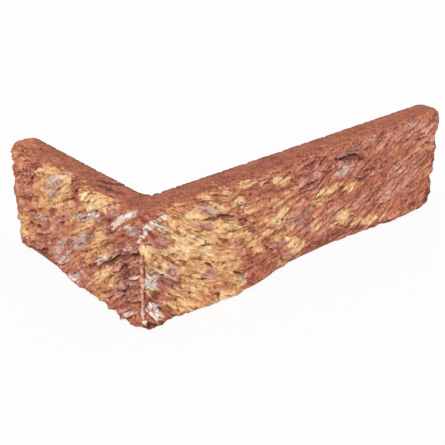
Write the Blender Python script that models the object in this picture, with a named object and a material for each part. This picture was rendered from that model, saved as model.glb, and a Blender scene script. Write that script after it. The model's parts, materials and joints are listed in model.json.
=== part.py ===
"""Corner brick slip: one L-shaped piece of hand-moulded fired clay, standing on its lower bed.

The long leg faces -Y and the short leg faces -X. Their faces meet at an upright outer corner,
and their flat backs meet at a filleted inner angle that wraps the corner of a wall.
Places on the face are given as (along, height): along is measured round the face from the
outer corner, positive down the long leg and negative down the short one.
"""

import math
from dataclasses import dataclass
from functools import lru_cache

import bmesh
import bpy
from mathutils import Vector

# Driving sizes, in metres.
LONG_LEG = 0.240  # outer face, corner to end
SHORT_LEG = 0.120
HEIGHT = 0.065  # lower bed to upper bed
THICKNESS = 0.017  # face to back
CORNER_RADIUS = 0.0025  # upright arris between the two faces
INNER_FILLET = 0.007  # angle between the two backs
HEAD_ARRIS = 0.0045  # face to upper bed
FOOT_ARRIS = 0.0032  # face to lower bed
BACK_ARRIS = 0.0010  # back to either bed
FACE_CROWN = 0.0008  # how far the middle of the face stands out

# Rounding of each leg's end, a blunt tongue in plan.
END_BULGE = 0.0026  # how far the tip stands past the leg's length
END_LENGTH = 0.0065  # measured down the leg
END_FACE = 0.0075  # measured across the leg, at the face
END_BACK = 0.0070  # the same, at the back
END_FOOT = 0.0010  # measured upwards from the lower bed
END_HEAD = 0.0010  # measured downwards from the upper bed
LONG_FOOT_CORNER = 0.0095  # lower corner of the long leg's end
SHORT_FOOT_CORNER = 0.0010
END_STRETCH = 0.020  # length of leg over which the outline of its end fades out

# Raised seam along the outer corner, where the two faces of the mould met.
SEAM_REACH = 0.0006
SEAM_HALF_WIDTH = 0.0022
SEAM_FOOT = 0.008
SEAM_HEAD = 0.046

# Ridges that the mould dragged across the face, each steep below and gentle above.
RIDGE_PITCH = 0.013  # measured up the face
RIDGE_REACH = 0.0006  # middle of the wave to its crest
RIDGE_STEEPNESS = 0.35  # share of a second, faster wave that leans the ridges over
RIDGE_SWAY = 0.017  # length of face over which the ridges come and go

# How finely the face is divided.
STATION_STEP = 0.0030
ROW_STEP = 0.0023
ARC_STEPS = 3
END_STEPS = 5
CLIMB_STEP = 0.001  # step in which a ridge is followed along the face
FLAT_ANGLE = math.radians(0.2)  # faces of the back that meet flatter than this become one

CLAY = (0.46, 0.17, 0.10, 1.0)
CLAY_ROUGHNESS = 0.92


@dataclass(frozen=True)
class Swell:
    """A soft-edged oval on the face that stands out by reach, or is hollow where reach is negative."""

    along: float
    height: float
    half_length: float
    half_height: float
    reach: float
    tilt: float = 0.0  # degrees, rising away from the corner on the long leg

    def at(self, along, height):
        """How far this swell moves the face outwards at a place."""
        turn = math.radians(self.tilt)
        run, rise = along - self.along, height - self.height
        across = (run * math.cos(turn) + rise * math.sin(turn)) / self.half_length
        up = (rise * math.cos(turn) - run * math.sin(turn)) / self.half_height
        distance = min(1.0, across * across + up * up)
        return self.reach * (1.0 - distance) ** 2


@dataclass(frozen=True)
class Wave:
    """A soft lip, or a notch where reach is negative, in the outline of a leg's end."""

    height: float
    half_height: float
    reach: float

    def at(self, height):
        """How far this wave moves the end along the leg at a height."""
        distance = min(1.0, abs(height - self.height) / self.half_height)
        return self.reach * (1.0 - distance * distance) ** 2


# Clay squeezed out past the mould along the foot, and places where it was scant.
FOOT_SWELLS = (
    Swell(0.060, 0.0, 0.045, 0.016, 0.0058),
    Swell(0.128, 0.0, 0.040, 0.012, -0.0030),
    Swell(LONG_LEG - 0.032, 0.0, 0.046, 0.017, 0.0058),
    Swell(-0.094, 0.0, 0.034, 0.011, -0.0036),
    Swell(-0.018, 0.0, 0.016, 0.010, 0.0014),
    Swell(0.000, 0.0, 0.012, 0.012, -0.0010),
    Swell(0.009, 0.0, 0.010, 0.010, 0.0026),
)

# Broad waves of the hand-moulded face, and the oval hollow near the head of the long leg.
FACE_SWELLS = (
    Swell(0.152, HEIGHT - 0.0095, 0.018, 0.0055, -0.0020, 3.0),
    Swell(0.105, HEIGHT * 0.55, 0.050, 0.030, -0.0009),
    Swell(0.195, HEIGHT * 0.46, 0.045, 0.032, 0.0008),
    Swell(0.045, HEIGHT * 0.40, 0.040, 0.034, 0.0007),
    Swell(-0.075, HEIGHT * 0.77, 0.034, 0.020, 0.0009),
    Swell(-0.030, HEIGHT * 0.40, 0.036, 0.024, -0.0008),
)

# Folds where the clay dragged down the mould.
FOLDS = (
    Swell(0.048, HEIGHT - 0.0165, 0.018, 0.0040, -0.0011, 8.0),
    Swell(0.041, 0.0300, 0.012, 0.0060, -0.0012, 30.0),
    Swell(0.112, HEIGHT - 0.0110, 0.020, 0.0045, -0.0010, 12.0),
    Swell(0.167, 0.0410, 0.015, 0.0042, -0.0012, 24.0),
    Swell(0.181, 0.0300, 0.016, 0.0045, 0.0009, 22.0),
    Swell(0.198, 0.0170, 0.015, 0.0042, -0.0012, 24.0),
    Swell(0.208, 0.0440, 0.015, 0.0042, -0.0013, 30.0),
    Swell(LONG_LEG - 0.013, HEIGHT - 0.0120, 0.012, 0.0042, -0.0012, 26.0),
    Swell(-0.015, 0.0300, 0.012, 0.0055, -0.0013, 35.0),
    Swell(-0.029, 0.0270, 0.014, 0.0045, -0.0012, 35.0),
    Swell(-0.050, HEIGHT - 0.0220, 0.015, 0.0045, 0.0009, 30.0),
    Swell(-0.084, HEIGHT - 0.0090, 0.013, 0.0050, -0.0010, 20.0),
    Swell(-0.108, HEIGHT - 0.0110, 0.012, 0.0060, -0.0009, 15.0),
)

# Which way the ridges run, as (along, degrees): down from both sides to the outer corner, and
# rising again on the far half of the long leg.
DRAG = (
    (-0.120, 18.0), (-0.060, 25.0), (-0.020, 33.0), (-0.003, 35.0),
    (0.003, -46.0), (0.015, -42.0), (0.030, -32.0), (0.048, -22.0), (0.062, -10.0),
    (0.078, 3.0), (0.095, 10.0), (0.125, 14.0), (0.240, 12.0),
)

# Rough outlines of the two ends.
LONG_END_WAVES = (
    Wave(HEIGHT, 0.008, -0.0012),
    Wave(HEIGHT - 0.0175, 0.009, -0.0034),
    Wave(0.0380, 0.007, -0.0010),
    Wave(0.0220, 0.007, -0.0022),
)
SHORT_END_WAVES = (
    Wave(HEIGHT - 0.0030, 0.015, 0.0014),
    Wave(0.0420, 0.008, -0.0006),
    Wave(0.0180, 0.012, -0.0010),
)


@dataclass(frozen=True)
class Leg:
    """One leg of the slip: where it runs from the outer corner, and the shape of its end."""

    run: Vector
    outward: Vector
    side: int  # sign of along on this leg
    length: float
    foot_corner: float
    end_waves: tuple

    def end_reach(self, height):
        """How far the end stands past, or short of, the leg's length at a height."""
        reach = sum(wave.at(height) for wave in self.end_waves)
        if height < self.foot_corner:
            rise = self.foot_corner - height
            reach -= self.foot_corner - math.sqrt(self.foot_corner ** 2 - rise ** 2)
        return reach

    def tip(self):
        """How far from the outer corner the leg's end reaches."""
        return self.length + END_BULGE

    def end_shift(self, distance, height):
        """How far a point moves along the leg to follow the outline of the end."""
        nearness = max(0.0, 1.0 - (self.tip() - distance) / END_STRETCH)
        return nearness * self.end_reach(height)


LONG = Leg(Vector((1, 0)), Vector((0, -1)), 1, LONG_LEG, LONG_FOOT_CORNER, LONG_END_WAVES)
SHORT = Leg(Vector((0, 1)), Vector((-1, 0)), -1, SHORT_LEG, SHORT_FOOT_CORNER, SHORT_END_WAVES)


def rounded(steps, radius):
    """(inward, upward) offsets of a quarter-round, from the bed to the face."""
    for k in range(steps + 1):
        angle = math.pi / 2 * k / steps
        yield radius * (1 - math.sin(angle)), radius * (1 - math.cos(angle))


def seam_offset(along, height):
    """How far the seam stands out at a place near the outer corner."""
    if not SEAM_FOOT < height < SEAM_HEAD:
        return 0.0
    across = min(1.0, abs(along) / SEAM_HALF_WIDTH)
    end = math.sin(math.pi * (height - SEAM_FOOT) / (SEAM_HEAD - SEAM_FOOT))
    return SEAM_REACH * end * (1.0 - across)


def drag_slope(along):
    """How steeply the ridges rise at a place along the face."""
    for (low, one), (high, other) in zip(DRAG, DRAG[1:]):
        if along <= high:
            break
    share = min(1.0, max(0.0, (along - low) / (high - low)))
    return math.tan(math.radians(one + (other - one) * share))


@lru_cache(maxsize=None)
def drag_climb(along):
    """How far a ridge that starts at the outer corner has risen at a place along the face."""
    count = max(1, round(abs(along) / CLIMB_STEP))
    step = along / count
    return sum(drag_slope((k + 0.5) * step) for k in range(count)) * step


def ridge_offset(along, height):
    """How far the dragged ridges move the face outwards at a place. They fade out at both beds."""
    turn = 2.0 * math.pi * (height - drag_climb(along)) / RIDGE_PITCH
    sway = 0.7 + 0.3 * math.sin(along / RIDGE_SWAY + 2.0 * height / HEIGHT)
    fade = math.sin(math.pi * height / HEIGHT)
    return RIDGE_REACH * sway * fade * (math.sin(turn) + RIDGE_STEEPNESS * math.sin(2.0 * turn))


def face_offset(along, height):
    """How far the face stands outside its nominal plane."""
    from_middle = (height - HEIGHT / 2) / (HEIGHT / 2)
    crown = FACE_CROWN * max(0.0, 1.0 - from_middle * from_middle)
    swells = sum(swell.at(along, height) for swell in FOOT_SWELLS + FACE_SWELLS + FOLDS)
    return crown + swells + ridge_offset(along, height) + seam_offset(along, height)


def side_rows(foot, head):
    """(inward, height, share of the face's offset) up one side of a leg, from bed to bed."""
    low, high = foot, HEIGHT - head
    count = max(2, round((HEIGHT - FOOT_ARRIS - HEAD_ARRIS) / ROW_STEP))
    rows = [(inward, upward, 1 - inward / foot) for inward, upward in rounded(ARC_STEPS, foot)]
    rows += [(0.0, low + (high - low) * k / count, 1.0) for k in range(1, count)]
    turned = reversed(list(rounded(ARC_STEPS, head)))
    rows += [(inward, HEIGHT - upward, 1 - inward / head) for inward, upward in turned]
    return rows


def section_profile():
    """The leg's cross-section as (depth, height, share of the face's offset): up the face, then
    down the back, with as many points on each side."""
    face = side_rows(FOOT_ARRIS, HEAD_ARRIS)
    back = [(THICKNESS - inward, height, 0.0) for inward, height, _ in side_rows(BACK_ARRIS, BACK_ARRIS)]
    return face + back[::-1]


@dataclass(frozen=True)
class Station:
    """One upright cut through the slip: where its face and back are in plan, and on a leg how far
    down the leg it is and how much of the end's rounding it has taken."""

    along: float
    face: Vector
    outward: Vector
    back: Vector
    leg: Leg = None
    distance: float = 0.0
    closing: float = 0.0

    def points(self, profile):
        """The cut's outline in space."""
        inward = (self.back - self.face) / THICKNESS
        deep = THICKNESS - self.closing * (END_FACE + END_BACK)
        tall = HEIGHT - self.closing * (END_FOOT + END_HEAD)
        for depth, height, share in profile:
            depth = self.closing * END_FACE + depth * deep / THICKNESS
            level = self.closing * END_FOOT + height * tall / HEIGHT
            offset = share * face_offset(self.along, height)
            plan = self.face + inward * depth + self.outward * offset
            if self.leg:
                plan = plan + self.leg.run * self.leg.end_shift(self.distance, level)
            yield Vector((plan.x, plan.y, level))


def leg_station(leg, distance, closing=0.0):
    """A cut square across a leg, at a distance from the outer corner."""
    face = leg.run * distance
    back = face - leg.outward * THICKNESS
    return Station(leg.side * distance, face, leg.outward, back, leg, distance, closing)


def leg_stations(leg, start):
    """Cuts along a leg from where the corner ends to the rounded end."""
    straight = leg.tip() - END_LENGTH - start
    count = max(2, round(straight / STATION_STEP))
    cuts = [leg_station(leg, start + straight * k / count) for k in range(1, count + 1)]
    for k in range(1, END_STEPS + 1):
        angle = math.pi / 2 * k / END_STEPS
        distance = leg.tip() - END_LENGTH * (1 - math.sin(angle))
        cuts.append(leg_station(leg, distance, 1 - math.cos(angle)))
    return cuts


def corner_stations(reach):
    """Cuts that fan round the corner, from the short leg to the long one."""
    straight = reach - CORNER_RADIUS
    count = max(2, round(straight / STATION_STEP))
    distances = [reach - straight * k / count for k in range(count)]
    faces = [(-distance, SHORT.run * distance, SHORT.outward) for distance in distances]
    centre = Vector((CORNER_RADIUS, CORNER_RADIUS))
    for k in range(ARC_STEPS + 1):
        angle = math.pi / 2 * k / ARC_STEPS
        outward = Vector((-math.cos(angle), -math.sin(angle)))
        along = CORNER_RADIUS * (2.0 * k / ARC_STEPS - 1.0)
        faces.append((along, centre + outward * CORNER_RADIUS, outward))
    faces += [(distance, LONG.run * distance, LONG.outward) for distance in reversed(distances)]
    cuts = []
    middle = Vector((reach, reach))
    for k, (along, face, outward) in enumerate(faces):
        angle = math.pi / 2 * k / (len(faces) - 1)
        back = middle - Vector((math.cos(angle), math.sin(angle))) * INNER_FILLET
        cuts.append(Station(along, face, outward, back))
    return cuts


def slip_stations():
    """Every cut, from the end of the short leg round to the end of the long one."""
    reach = THICKNESS + INNER_FILLET
    short, long = leg_stations(SHORT, reach), leg_stations(LONG, reach)
    return list(reversed(short)) + corner_stations(reach) + long


def build_slip_mesh():
    """Skins the cuts into one closed mesh and closes its two ends."""
    mesh = bmesh.new()
    profile = section_profile()
    loops = [[mesh.verts.new(p) for p in cut.points(profile)] for cut in slip_stations()]
    for one, other in zip(loops, loops[1:]):
        for k in range(len(one)):
            after = (k + 1) % len(one)
            mesh.faces.new((one[k], one[after], other[after], other[k]))
    for loop in (loops[0], loops[-1]):
        close_end(mesh, loop)
    merge_flat_backs(mesh, loops)
    bmesh.ops.recalc_face_normals(mesh, faces=mesh.faces)
    centre_on_base(mesh)
    return mesh


def close_end(mesh, loop):
    """Lays rungs across an end, from each point up the face to its partner on the back."""
    for k in range(len(loop) // 2 - 1):
        mesh.faces.new((loop[k], loop[k + 1], loop[-2 - k], loop[-1 - k]))


def merge_flat_backs(mesh, loops):
    """Merges the small coplanar faces of the two backs."""
    first, last = len(loops[0]) // 2 + ARC_STEPS, len(loops[0]) - ARC_STEPS
    points = {point for loop in loops for point in loop[first:last]}
    edges = [edge for edge in mesh.edges if points.issuperset(edge.verts)]
    bmesh.ops.dissolve_limit(mesh, angle_limit=FLAT_ANGLE, verts=list(points), edges=edges)


def centre_on_base(mesh):
    """Puts the origin at the middle of the base of the slip's box."""
    xs = [v.co.x for v in mesh.verts]
    ys = [v.co.y for v in mesh.verts]
    middle = Vector(((min(xs) + max(xs)) / 2, (min(ys) + max(ys)) / 2, 0.0))
    bmesh.ops.translate(mesh, verts=mesh.verts, vec=-middle)


def clay_material():
    """Matt red fired clay."""
    clay = bpy.data.materials.new("fired_clay")
    clay.use_nodes = True
    surface = clay.node_tree.nodes["Principled BSDF"]
    surface.inputs["Base Color"].default_value = CLAY
    surface.inputs["Roughness"].default_value = CLAY_ROUGHNESS
    surface.inputs["Metallic"].default_value = 0.0
    return clay


def main():
    """Clears the scene and builds the slip."""
    for old in list(bpy.data.objects):
        bpy.data.objects.remove(old)
    mesh = bpy.data.meshes.new("corner_slip")
    shape = build_slip_mesh()
    shape.to_mesh(mesh)
    shape.free()
    mesh.materials.append(clay_material())
    mesh.shade_smooth()
    mesh.set_sharp_from_angle(angle=math.radians(40))
    slip = bpy.data.objects.new("corner_slip", mesh)
    bpy.context.scene.collection.objects.link(slip)


main()
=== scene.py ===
"""Looks of a corner brick slip: one L-shaped piece of hand-moulded fired clay on its lower bed.

The clay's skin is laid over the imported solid, and takes what the mould and the hand left on it:
streaks dragged across the face, folds with a drooping lip, pits, patches of paler clay, lime
and sand.

Marks and patches are placed in millimetres on the face unrolled flat, as (along, height). Along runs
round the face from the outer corner, positive down the long leg and negative down the short one.
The unrolled sheet goes on over the upper bed past the slip's height, and over the lower bed below 0.
"""

import json
import logging
import math
from dataclasses import dataclass
from enum import Enum

import bmesh
import bpy
import numpy as np
from mathutils import Matrix, Vector, noise
from mathutils.bvhtree import BVHTree


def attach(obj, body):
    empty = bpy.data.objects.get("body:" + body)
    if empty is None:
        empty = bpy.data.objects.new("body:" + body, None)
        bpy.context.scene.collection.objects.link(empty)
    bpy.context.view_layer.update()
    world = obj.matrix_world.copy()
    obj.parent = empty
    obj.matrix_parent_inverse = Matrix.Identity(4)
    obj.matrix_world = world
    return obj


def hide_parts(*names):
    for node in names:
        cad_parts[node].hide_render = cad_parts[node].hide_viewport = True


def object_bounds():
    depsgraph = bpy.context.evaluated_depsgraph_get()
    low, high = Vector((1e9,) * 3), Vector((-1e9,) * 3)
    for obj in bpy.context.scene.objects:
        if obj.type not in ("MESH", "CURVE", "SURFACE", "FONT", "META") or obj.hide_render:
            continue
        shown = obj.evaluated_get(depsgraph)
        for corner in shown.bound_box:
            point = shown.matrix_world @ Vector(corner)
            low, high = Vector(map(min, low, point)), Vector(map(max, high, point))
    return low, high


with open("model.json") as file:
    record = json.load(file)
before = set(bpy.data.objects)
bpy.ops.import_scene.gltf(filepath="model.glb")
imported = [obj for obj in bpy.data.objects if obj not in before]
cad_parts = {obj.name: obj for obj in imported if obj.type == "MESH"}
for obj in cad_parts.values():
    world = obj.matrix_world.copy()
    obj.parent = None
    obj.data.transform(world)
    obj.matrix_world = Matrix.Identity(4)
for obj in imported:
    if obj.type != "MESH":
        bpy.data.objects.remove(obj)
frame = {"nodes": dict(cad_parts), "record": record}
CAD_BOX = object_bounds()

NODE = "corner_slip"
BODY = "root"
MM = 0.001
log = logging.getLogger("corner_slip")

# Sizes of the slip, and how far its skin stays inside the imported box, in millimetres.
HEIGHT = 65.0
WALL = 17.0
INNER_FILLET = 7.0
CORNER_ARC = 2.5
INSET = 0.02


class Tone(Enum):
    """A clay, or what lies on it, that colours patches of the face; the darkest tone is painted shade."""

    SALMON = "salmon"
    OCHRE = "ochre"
    CREAM = "cream"
    ORANGE = "orange"
    MAUVE = "mauve"
    BRICK = "brick"
    GREY = "grey"
    LIME = "lime"
    # Painted shade in pits, creases, slots and cracks, and along the foot where the face turns under.
    DARK = "dark"


@dataclass(frozen=True)
class Patch:
    """An oval on the face, in millimetres, with its long axis tilted in degrees."""

    along: float
    height: float
    half_length: float
    half_height: float
    tilt: float = 0.0
    strength: float = 1.0


@dataclass(frozen=True)
class Crease:
    """A fold in the clay: a groove under a drooping lip. Its ends stand above its middle by sag."""

    along: float
    height: float
    half_length: float
    tilt: float = 0.0
    sag: float = 0.0
    depth: float = 0.8


# Where each tone lies on the face and the upper bed. Strength is how densely it lies there.
PATCHES: dict[Tone, tuple[Patch, ...]] = {
    Tone.SALMON: (
        Patch(50, 25, 8, 4, -25), Patch(60, 33, 8, 5, -25), Patch(125, 18, 14, 6, -15),
        Patch(137, 20, 10, 5, -20), Patch(103, 8, 8, 4, -20), Patch(165, 22, 12, 6, -20),
        Patch(185, 22, 12, 6, -15), Patch(205, 25, 16, 8, -10), Patch(200, 36, 10, 5, -10),
        Patch(215, 58, 14, 5, -5), Patch(225, 44, 10, 6, 0), Patch(175, 60, 14, 4, -5),
        Patch(-70, 30, 9, 4, 25), Patch(-108, 40, 6, 6, 10), Patch(-20, 61, 7, 3, 20),
        Patch(0, 27, 1.4, 19), Patch(55, 27.5, 8.5, 3, -16), Patch(148, 48, 10, 3.5, -10),
        Patch(53, 25, 4.5, 1.8, -17), Patch(64, 26, 6, 2, -15, 0.8), Patch(14, 45, 3, 1.3, -19, 0.8),
        Patch(6, 40, 6, 12, -35, 0.8), Patch(10, 12, 7, 9, -30, 0.7), Patch(103, 34, 14, 10, -10, 0.6),
        Patch(112, 10, 14, 5, -20, 0.8), Patch(-62, 46, 10, 6, 25, 0.7), Patch(-84, 28, 9, 5, 25, 0.7),
        Patch(-50, 12, 10, 4, 30, 0.7), Patch(216, 40, 18, 10, 10, 0.6), Patch(195, 56, 14, 5, 0, 0.6),
        Patch(-114, 14, 7, 9, 0, 0.9), Patch(-73, 13, 14, 7, 20, 1.1), Patch(-111, 30, 5, 5, 10, 0.9),
    ),
    Tone.OCHRE: (
        Patch(40, 28, 20, 28, -8, 1.1), Patch(34, 52, 16, 10, -12, 1.0), Patch(-78, 42, 32, 18, 22, 0.4),
        Patch(90, 34, 16, 12, -20, 0.5), Patch(-38, 30, 16, 14, 35, 0.5), Patch(28, 52, 14, 7, -15),
        Patch(8.5, 46, 10, 2.5, -23), Patch(8, 39, 9, 3.5, -38, 1.1), Patch(22, 35, 8, 1.8, -38),
        Patch(32, 27.5, 11.5, 2, -36), Patch(30, 23, 8.5, 2.5, -21), Patch(32, 17.5, 13, 2.5, -23),
        Patch(32, 11.5, 13, 2.5, -24), Patch(30, 6.5, 11, 2, -27), Patch(53, 10.5, 12.5, 2.5, -23),
        Patch(54, 17.5, 9.5, 2, -12), Patch(24, 60, 7.5, 2.5, -25), Patch(24, 47.5, 8.5, 2.5, -25),
        Patch(35, 37.5, 9.5, 2.5, -19), Patch(38, 31, 9.5, 2, -23), Patch(37, 41.5, 10, 1.8, -19),
        Patch(20, 9.5, 5.5, 1.3, -41), Patch(56, 14, 9, 7, -20),
        Patch(57, 45, 6, 4, -20), Patch(63, 18, 6, 4, -25), Patch(60, 7, 6, 5, -15),
        Patch(73, 61.5, 10, 2.2, -8), Patch(85, 62, 3, 1.5), Patch(93, 57, 7, 3, -12),
        Patch(72, 47, 5, 5, -15, 0.8), Patch(97, 40, 6, 5, -30), Patch(73, 28, 7, 3.5, -30),
        Patch(67, 21, 3, 2.5, -20), Patch(70, 61, 5, 2, -15), Patch(63, 54.5, 4, 1.5, -20),
        Patch(64, 36, 6, 3, -20, 0.8), Patch(56, 38, 8, 4, -15, 0.8), Patch(100, 44, 5, 4, -20, 0.8),
        Patch(79, 21, 5, 2, -20), Patch(93, 22, 8, 2, -22), Patch(104, 17, 6, 2.2, -20),
        Patch(92, 8, 6, 2, -25), Patch(113, 13, 7, 2.5, -25, 0.8), Patch(127, 35, 9, 4, 0, 0.75),
        Patch(133, 39, 7, 4, 10, 0.7), Patch(150, 17, 8, 4.5, 10, 0.8), Patch(162, 10, 6, 3, 0, 0.75),
        Patch(153, 35, 6, 2.5, 10, 0.6), Patch(179, 8, 13, 3, -5, 0.7), Patch(124, 20, 7, 2, 10, 0.6),
        Patch(-37, 61.5, 13, 5.5, 12, 1.3), Patch(-42, 56, 8, 3, 25, 1.1), Patch(-35, 38, 9, 6, 35),
        Patch(-46, 27, 9, 5, 35, 0.8), Patch(-28, 21, 7, 6, 35), Patch(-52, 41, 9, 5, 30, 0.8),
        Patch(-60, 38, 9, 5, 30, 0.6), Patch(-78, 52.5, 20, 9.5, 19, 1.35),
        Patch(-90, 43, 15, 6, 20, 0.7), Patch(-98, 38, 8, 4, 20, 0.7), Patch(-33, 45, 8, 2, 35),
        Patch(-36, 8, 7, 5, 30), Patch(-113, 18, 8, 6, 20, 0.8), Patch(-105, 14, 10, 4, 20, 0.8),
    ),
    Tone.CREAM: (
        Patch(9, 46.5, 8.5, 1, -23), Patch(8.5, 37, 8, 0.8, -47), Patch(22, 33, 8, 0.8, -48),
        Patch(34, 25, 8.5, 0.8, -32), Patch(24, 45, 7.5, 1, -22), Patch(40, 40, 9, 0.8, -19),
        Patch(31, 19, 9, 1, -24), Patch(30, 13, 8, 0.8, -31), Patch(27, 7, 8, 0.8, -41),
        Patch(44, 5, 6, 0.8, -26), Patch(58, 14.5, 5.5, 0.8, -7), Patch(32, 56, 4, 1.8, -25, 0.8),
        Patch(28, 44, 16, 3, -22, 0.7), Patch(30, 17, 9, 4, -35, 0.7), Patch(52, 52, 5, 2.5, -15),
        Patch(63, 53, 4, 2, -15), Patch(55, 43, 5, 2, -20), Patch(74, 61, 5, 1.2, -10),
        Patch(93, 57, 4, 1.5, -15), Patch(98, 40, 3, 1.2, 25), Patch(101, 37.5, 3, 1, 25),
        Patch(105, 17, 5, 1.2, -30), Patch(97, 19, 4, 1.2, -30), Patch(121, 34, 3, 1, 28),
        Patch(124, 35, 4, 1.2, 28), Patch(128, 33.5, 4, 1.2, 28), Patch(128, 41, 4, 1.1, 30),
        Patch(131, 39.5, 3.5, 1.1, 30), Patch(148, 36, 3.5, 1, 30, 0.9), Patch(152, 34.5, 3, 1, 30, 0.9),
        Patch(145, 25, 4, 1, 25, 0.8), Patch(145, 18, 4.5, 1.2, 28), Patch(149, 17.5, 4.5, 1.2, 28),
        Patch(152, 15.5, 4, 1.1, 25), Patch(161, 11, 3, 1, 25), Patch(164, 9.5, 3, 1, 25),
        Patch(174, 9, 4, 1.1, 25, 0.9), Patch(180, 8.5, 4, 1.1, 25, 0.9), Patch(186, 7, 4, 1.1, 20, 0.9),
        Patch(103, 44, 4, 1.5, 25), Patch(50, 8, 12, 4, -20, 0.7), Patch(40, 33, 14, 3, -28, 0.7),
        Patch(-33, 60, 9, 2, 30), Patch(-66, 62, 6, 2, 25), Patch(-28, 18, 4, 3, 35),
        Patch(10, 43, 10, 2.5, -22, 1.1), Patch(14, 34, 8, 1.5, -40), Patch(5, 23, 3, 5, -50, 0.7),
        Patch(108, 12, 13, 4, -20, 0.55), Patch(100, 33, 12, 7, -20, 0.5), Patch(-74, 46, 10, 3, 25, 0.3),
        Patch(-50, 38, 8, 3, 30, 0.3), Patch(26, 38, 12, 5, -30, 0.6), Patch(-34, 61, 10, 3, 14),
        Patch(-41, 12, 9, 2, 35, 0.8),
    ),
    Tone.ORANGE: (
        Patch(194, 50, 7, 4, -8, 0.8), Patch(180, 55, 6, 2, 0, 0.7), Patch(57, 57, 4, 3, 0),
        Patch(105, 38, 4, 4, -20), Patch(122, 28, 5, 4, -20), Patch(147, 40, 3, 7, -60, 0.6),
        Patch(225, 24, 8, 4, -10, 0.6), Patch(80, 44, 11, 6, -15), Patch(93, 62, 6, 2, -10),
        Patch(50, 8, 16, 4, -15, 0.8), Patch(66, 13, 5, 6, -40, 0.8), Patch(25, 61, 6, 2.5, 0),
        Patch(50, 30, 8, 4, -20, 0.6), Patch(-36, 12, 9, 5, 35), Patch(-60, 15, 7, 5, 30),
        Patch(-88, 36, 10, 3, 20), Patch(-86, 10, 5, 3, 30), Patch(-110, 57, 12, 8, 10, 0.9),
        Patch(-47, 33, 7, 3, 40), Patch(-116, 73, 8, 4, 0, 1.2), Patch(-113, 63, 5, 3, 10),
        Patch(228, 34, 8, 12, 0, 0.7), Patch(-66, 30, 12, 6, 30, 0.7), Patch(-98, 46, 8, 6, 10, 0.7),
        Patch(100, 44, 8, 6, -10, 0.7), Patch(88, 48, 8, 5, -10, 0.7), Patch(-100, 20, 8, 6, 20, 0.7),
        Patch(-56, 36, 14, 8, 30, 0.7), Patch(-104, 40, 10, 8, 10, 0.7), Patch(-90, 49, 8, 6, 20, 0.7),
    ),
    Tone.MAUVE: (
        Patch(12, 50, 6.5, 2.5, -10), Patch(12, 46.5, 4, 1.3, -19), Patch(16, 24.5, 8, 3.5, -17),
        Patch(19, 31, 4.5, 2, -33), Patch(42, 20, 5.5, 2.3, -14), Patch(37, 48.5, 9.5, 2, -20, 0.8),
        Patch(118, 52, 12, 6, 10, 0.7), Patch(150, 50.5, 17, 2.5, -10, 0.8),
        Patch(160, 60.5, 12, 1.5, -12, 0.8), Patch(147, 56, 12, 3, -9, 1.3), Patch(192, 17, 9, 3, -5, 0.7),
        Patch(205, 47, 12, 2, 3, 0.8), Patch(-75, 55, 9, 4.5, 25, 0.9), Patch(112, 30, 12, 7, -5, 0.6),
        Patch(210, 26.5, 13, 3.5, -7, 0.6), Patch(222, 55, 9, 2, -12, 0.7), Patch(236, 57, 4, 4, 0, 0.8),
        Patch(95, 17, 9.5, 2.5, -10, 0.7), Patch(-6.5, 47.5, 6.5, 2.5, 16, 0.8), Patch(-16, 41.5, 11, 2, 27),
        Patch(-13, 34.5, 12, 1.8, 26), Patch(-12, 26, 12, 2, 35), Patch(-14, 18.5, 12, 2, 31),
        Patch(-18, 4, 8, 2, 22), Patch(-18, 59, 4.5, 1.8, 24), Patch(-49, 33, 12, 2.3, 35, 0.8),
        Patch(-92, 29, 9, 1.8, 26, 0.8), Patch(-72, 35.5, 8.5, 1.8, 27, 0.7),
    ),
    Tone.BRICK: (
        Patch(-56, 64, 3, 4.5, 10), Patch(-54, 59.5, 3.5, 1.5, 50), Patch(-53, 55.5, 3.5, 1.4, 28),
        Patch(-99, 50, 6, 2.5, 60), Patch(-104, 36, 4, 5, 10), Patch(-93, 61, 8, 2, 20),
        Patch(10, 20, 3, 4, -60, 0.8), Patch(22, 21, 4, 4, -40, 0.7), Patch(52, 49, 9, 1.5, -18),
        Patch(86, 54, 7, 2.5, -10), Patch(84, 34, 6, 2, -15, 0.8), Patch(120, 14, 8, 3, -25),
        Patch(205, 4, 30, 4, 0, 0.9), Patch(165, 3, 14, 3, -15, 0.9), Patch(-32, 73, 12, 4, 10),
        Patch(-54, 61, 2.5, 7, 15, 1.1), Patch(80, 9, 11, 7, -8),
    ),
    Tone.GREY: (
        Patch(42, 55.5, 7, 1.8, -28), Patch(42, 58, 4.5, 0.8, -22, 0.7), Patch(65, 9.5, 3.5, 1.5, -7),
        Patch(65, 51, 3, 1.3, 1, 0.7), Patch(62, 29, 1.5, 2.5, -20, 0.7), Patch(110, 32, 4, 1.3, 11, 0.6),
        Patch(-77, 56, 8, 2, 32, 0.9), Patch(-73, 52.5, 7, 1.5, 32, 0.8), Patch(146, 48.5, 9, 2.5, -6, 0.9),
        Patch(-52, 30, 7, 3, 30, 0.7), Patch(208, 62.5, 9, 0.8, 0, 0.7), Patch(-75, 57, 7, 1.5, 35),
        Patch(-69, 63, 6, 1.3, 40), Patch(-75, 57, 9, 2.3, 19, 0.6), Patch(-43, 49, 12, 1.5, 19, 0.8),
        Patch(-72, 20, 10, 2.3, 47), Patch(-59, 26.5, 9, 1.3, 38, 0.9), Patch(-47, 35.5, 8.5, 1.5, 28, 0.9),
        Patch(-39, 53.5, 8, 1, 23, 0.7), Patch(-6, 57.5, 6, 1, 18, 0.6),
        Patch(-4.5, 55.5, 5.5, 1.3, 22, 0.7), Patch(-69, 15, 8, 2.5, 42, 0.8),
        Patch(-77, 10, 6, 2, 35, 0.8), Patch(-56, 10, 10, 2.5, 35, 0.7),
    ),
    Tone.LIME: (
        Patch(2.5, 56, 4.5, 2, 39), Patch(7.5, 59, 3.5, 1.5, 20), Patch(12, 60, 3.5, 1, 5),
        Patch(11, 56.5, 4, 1, -28), Patch(4.5, 28, 3.5, 1.8, 0), Patch(8, 30.5, 4.5, 1.8, -9),
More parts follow.
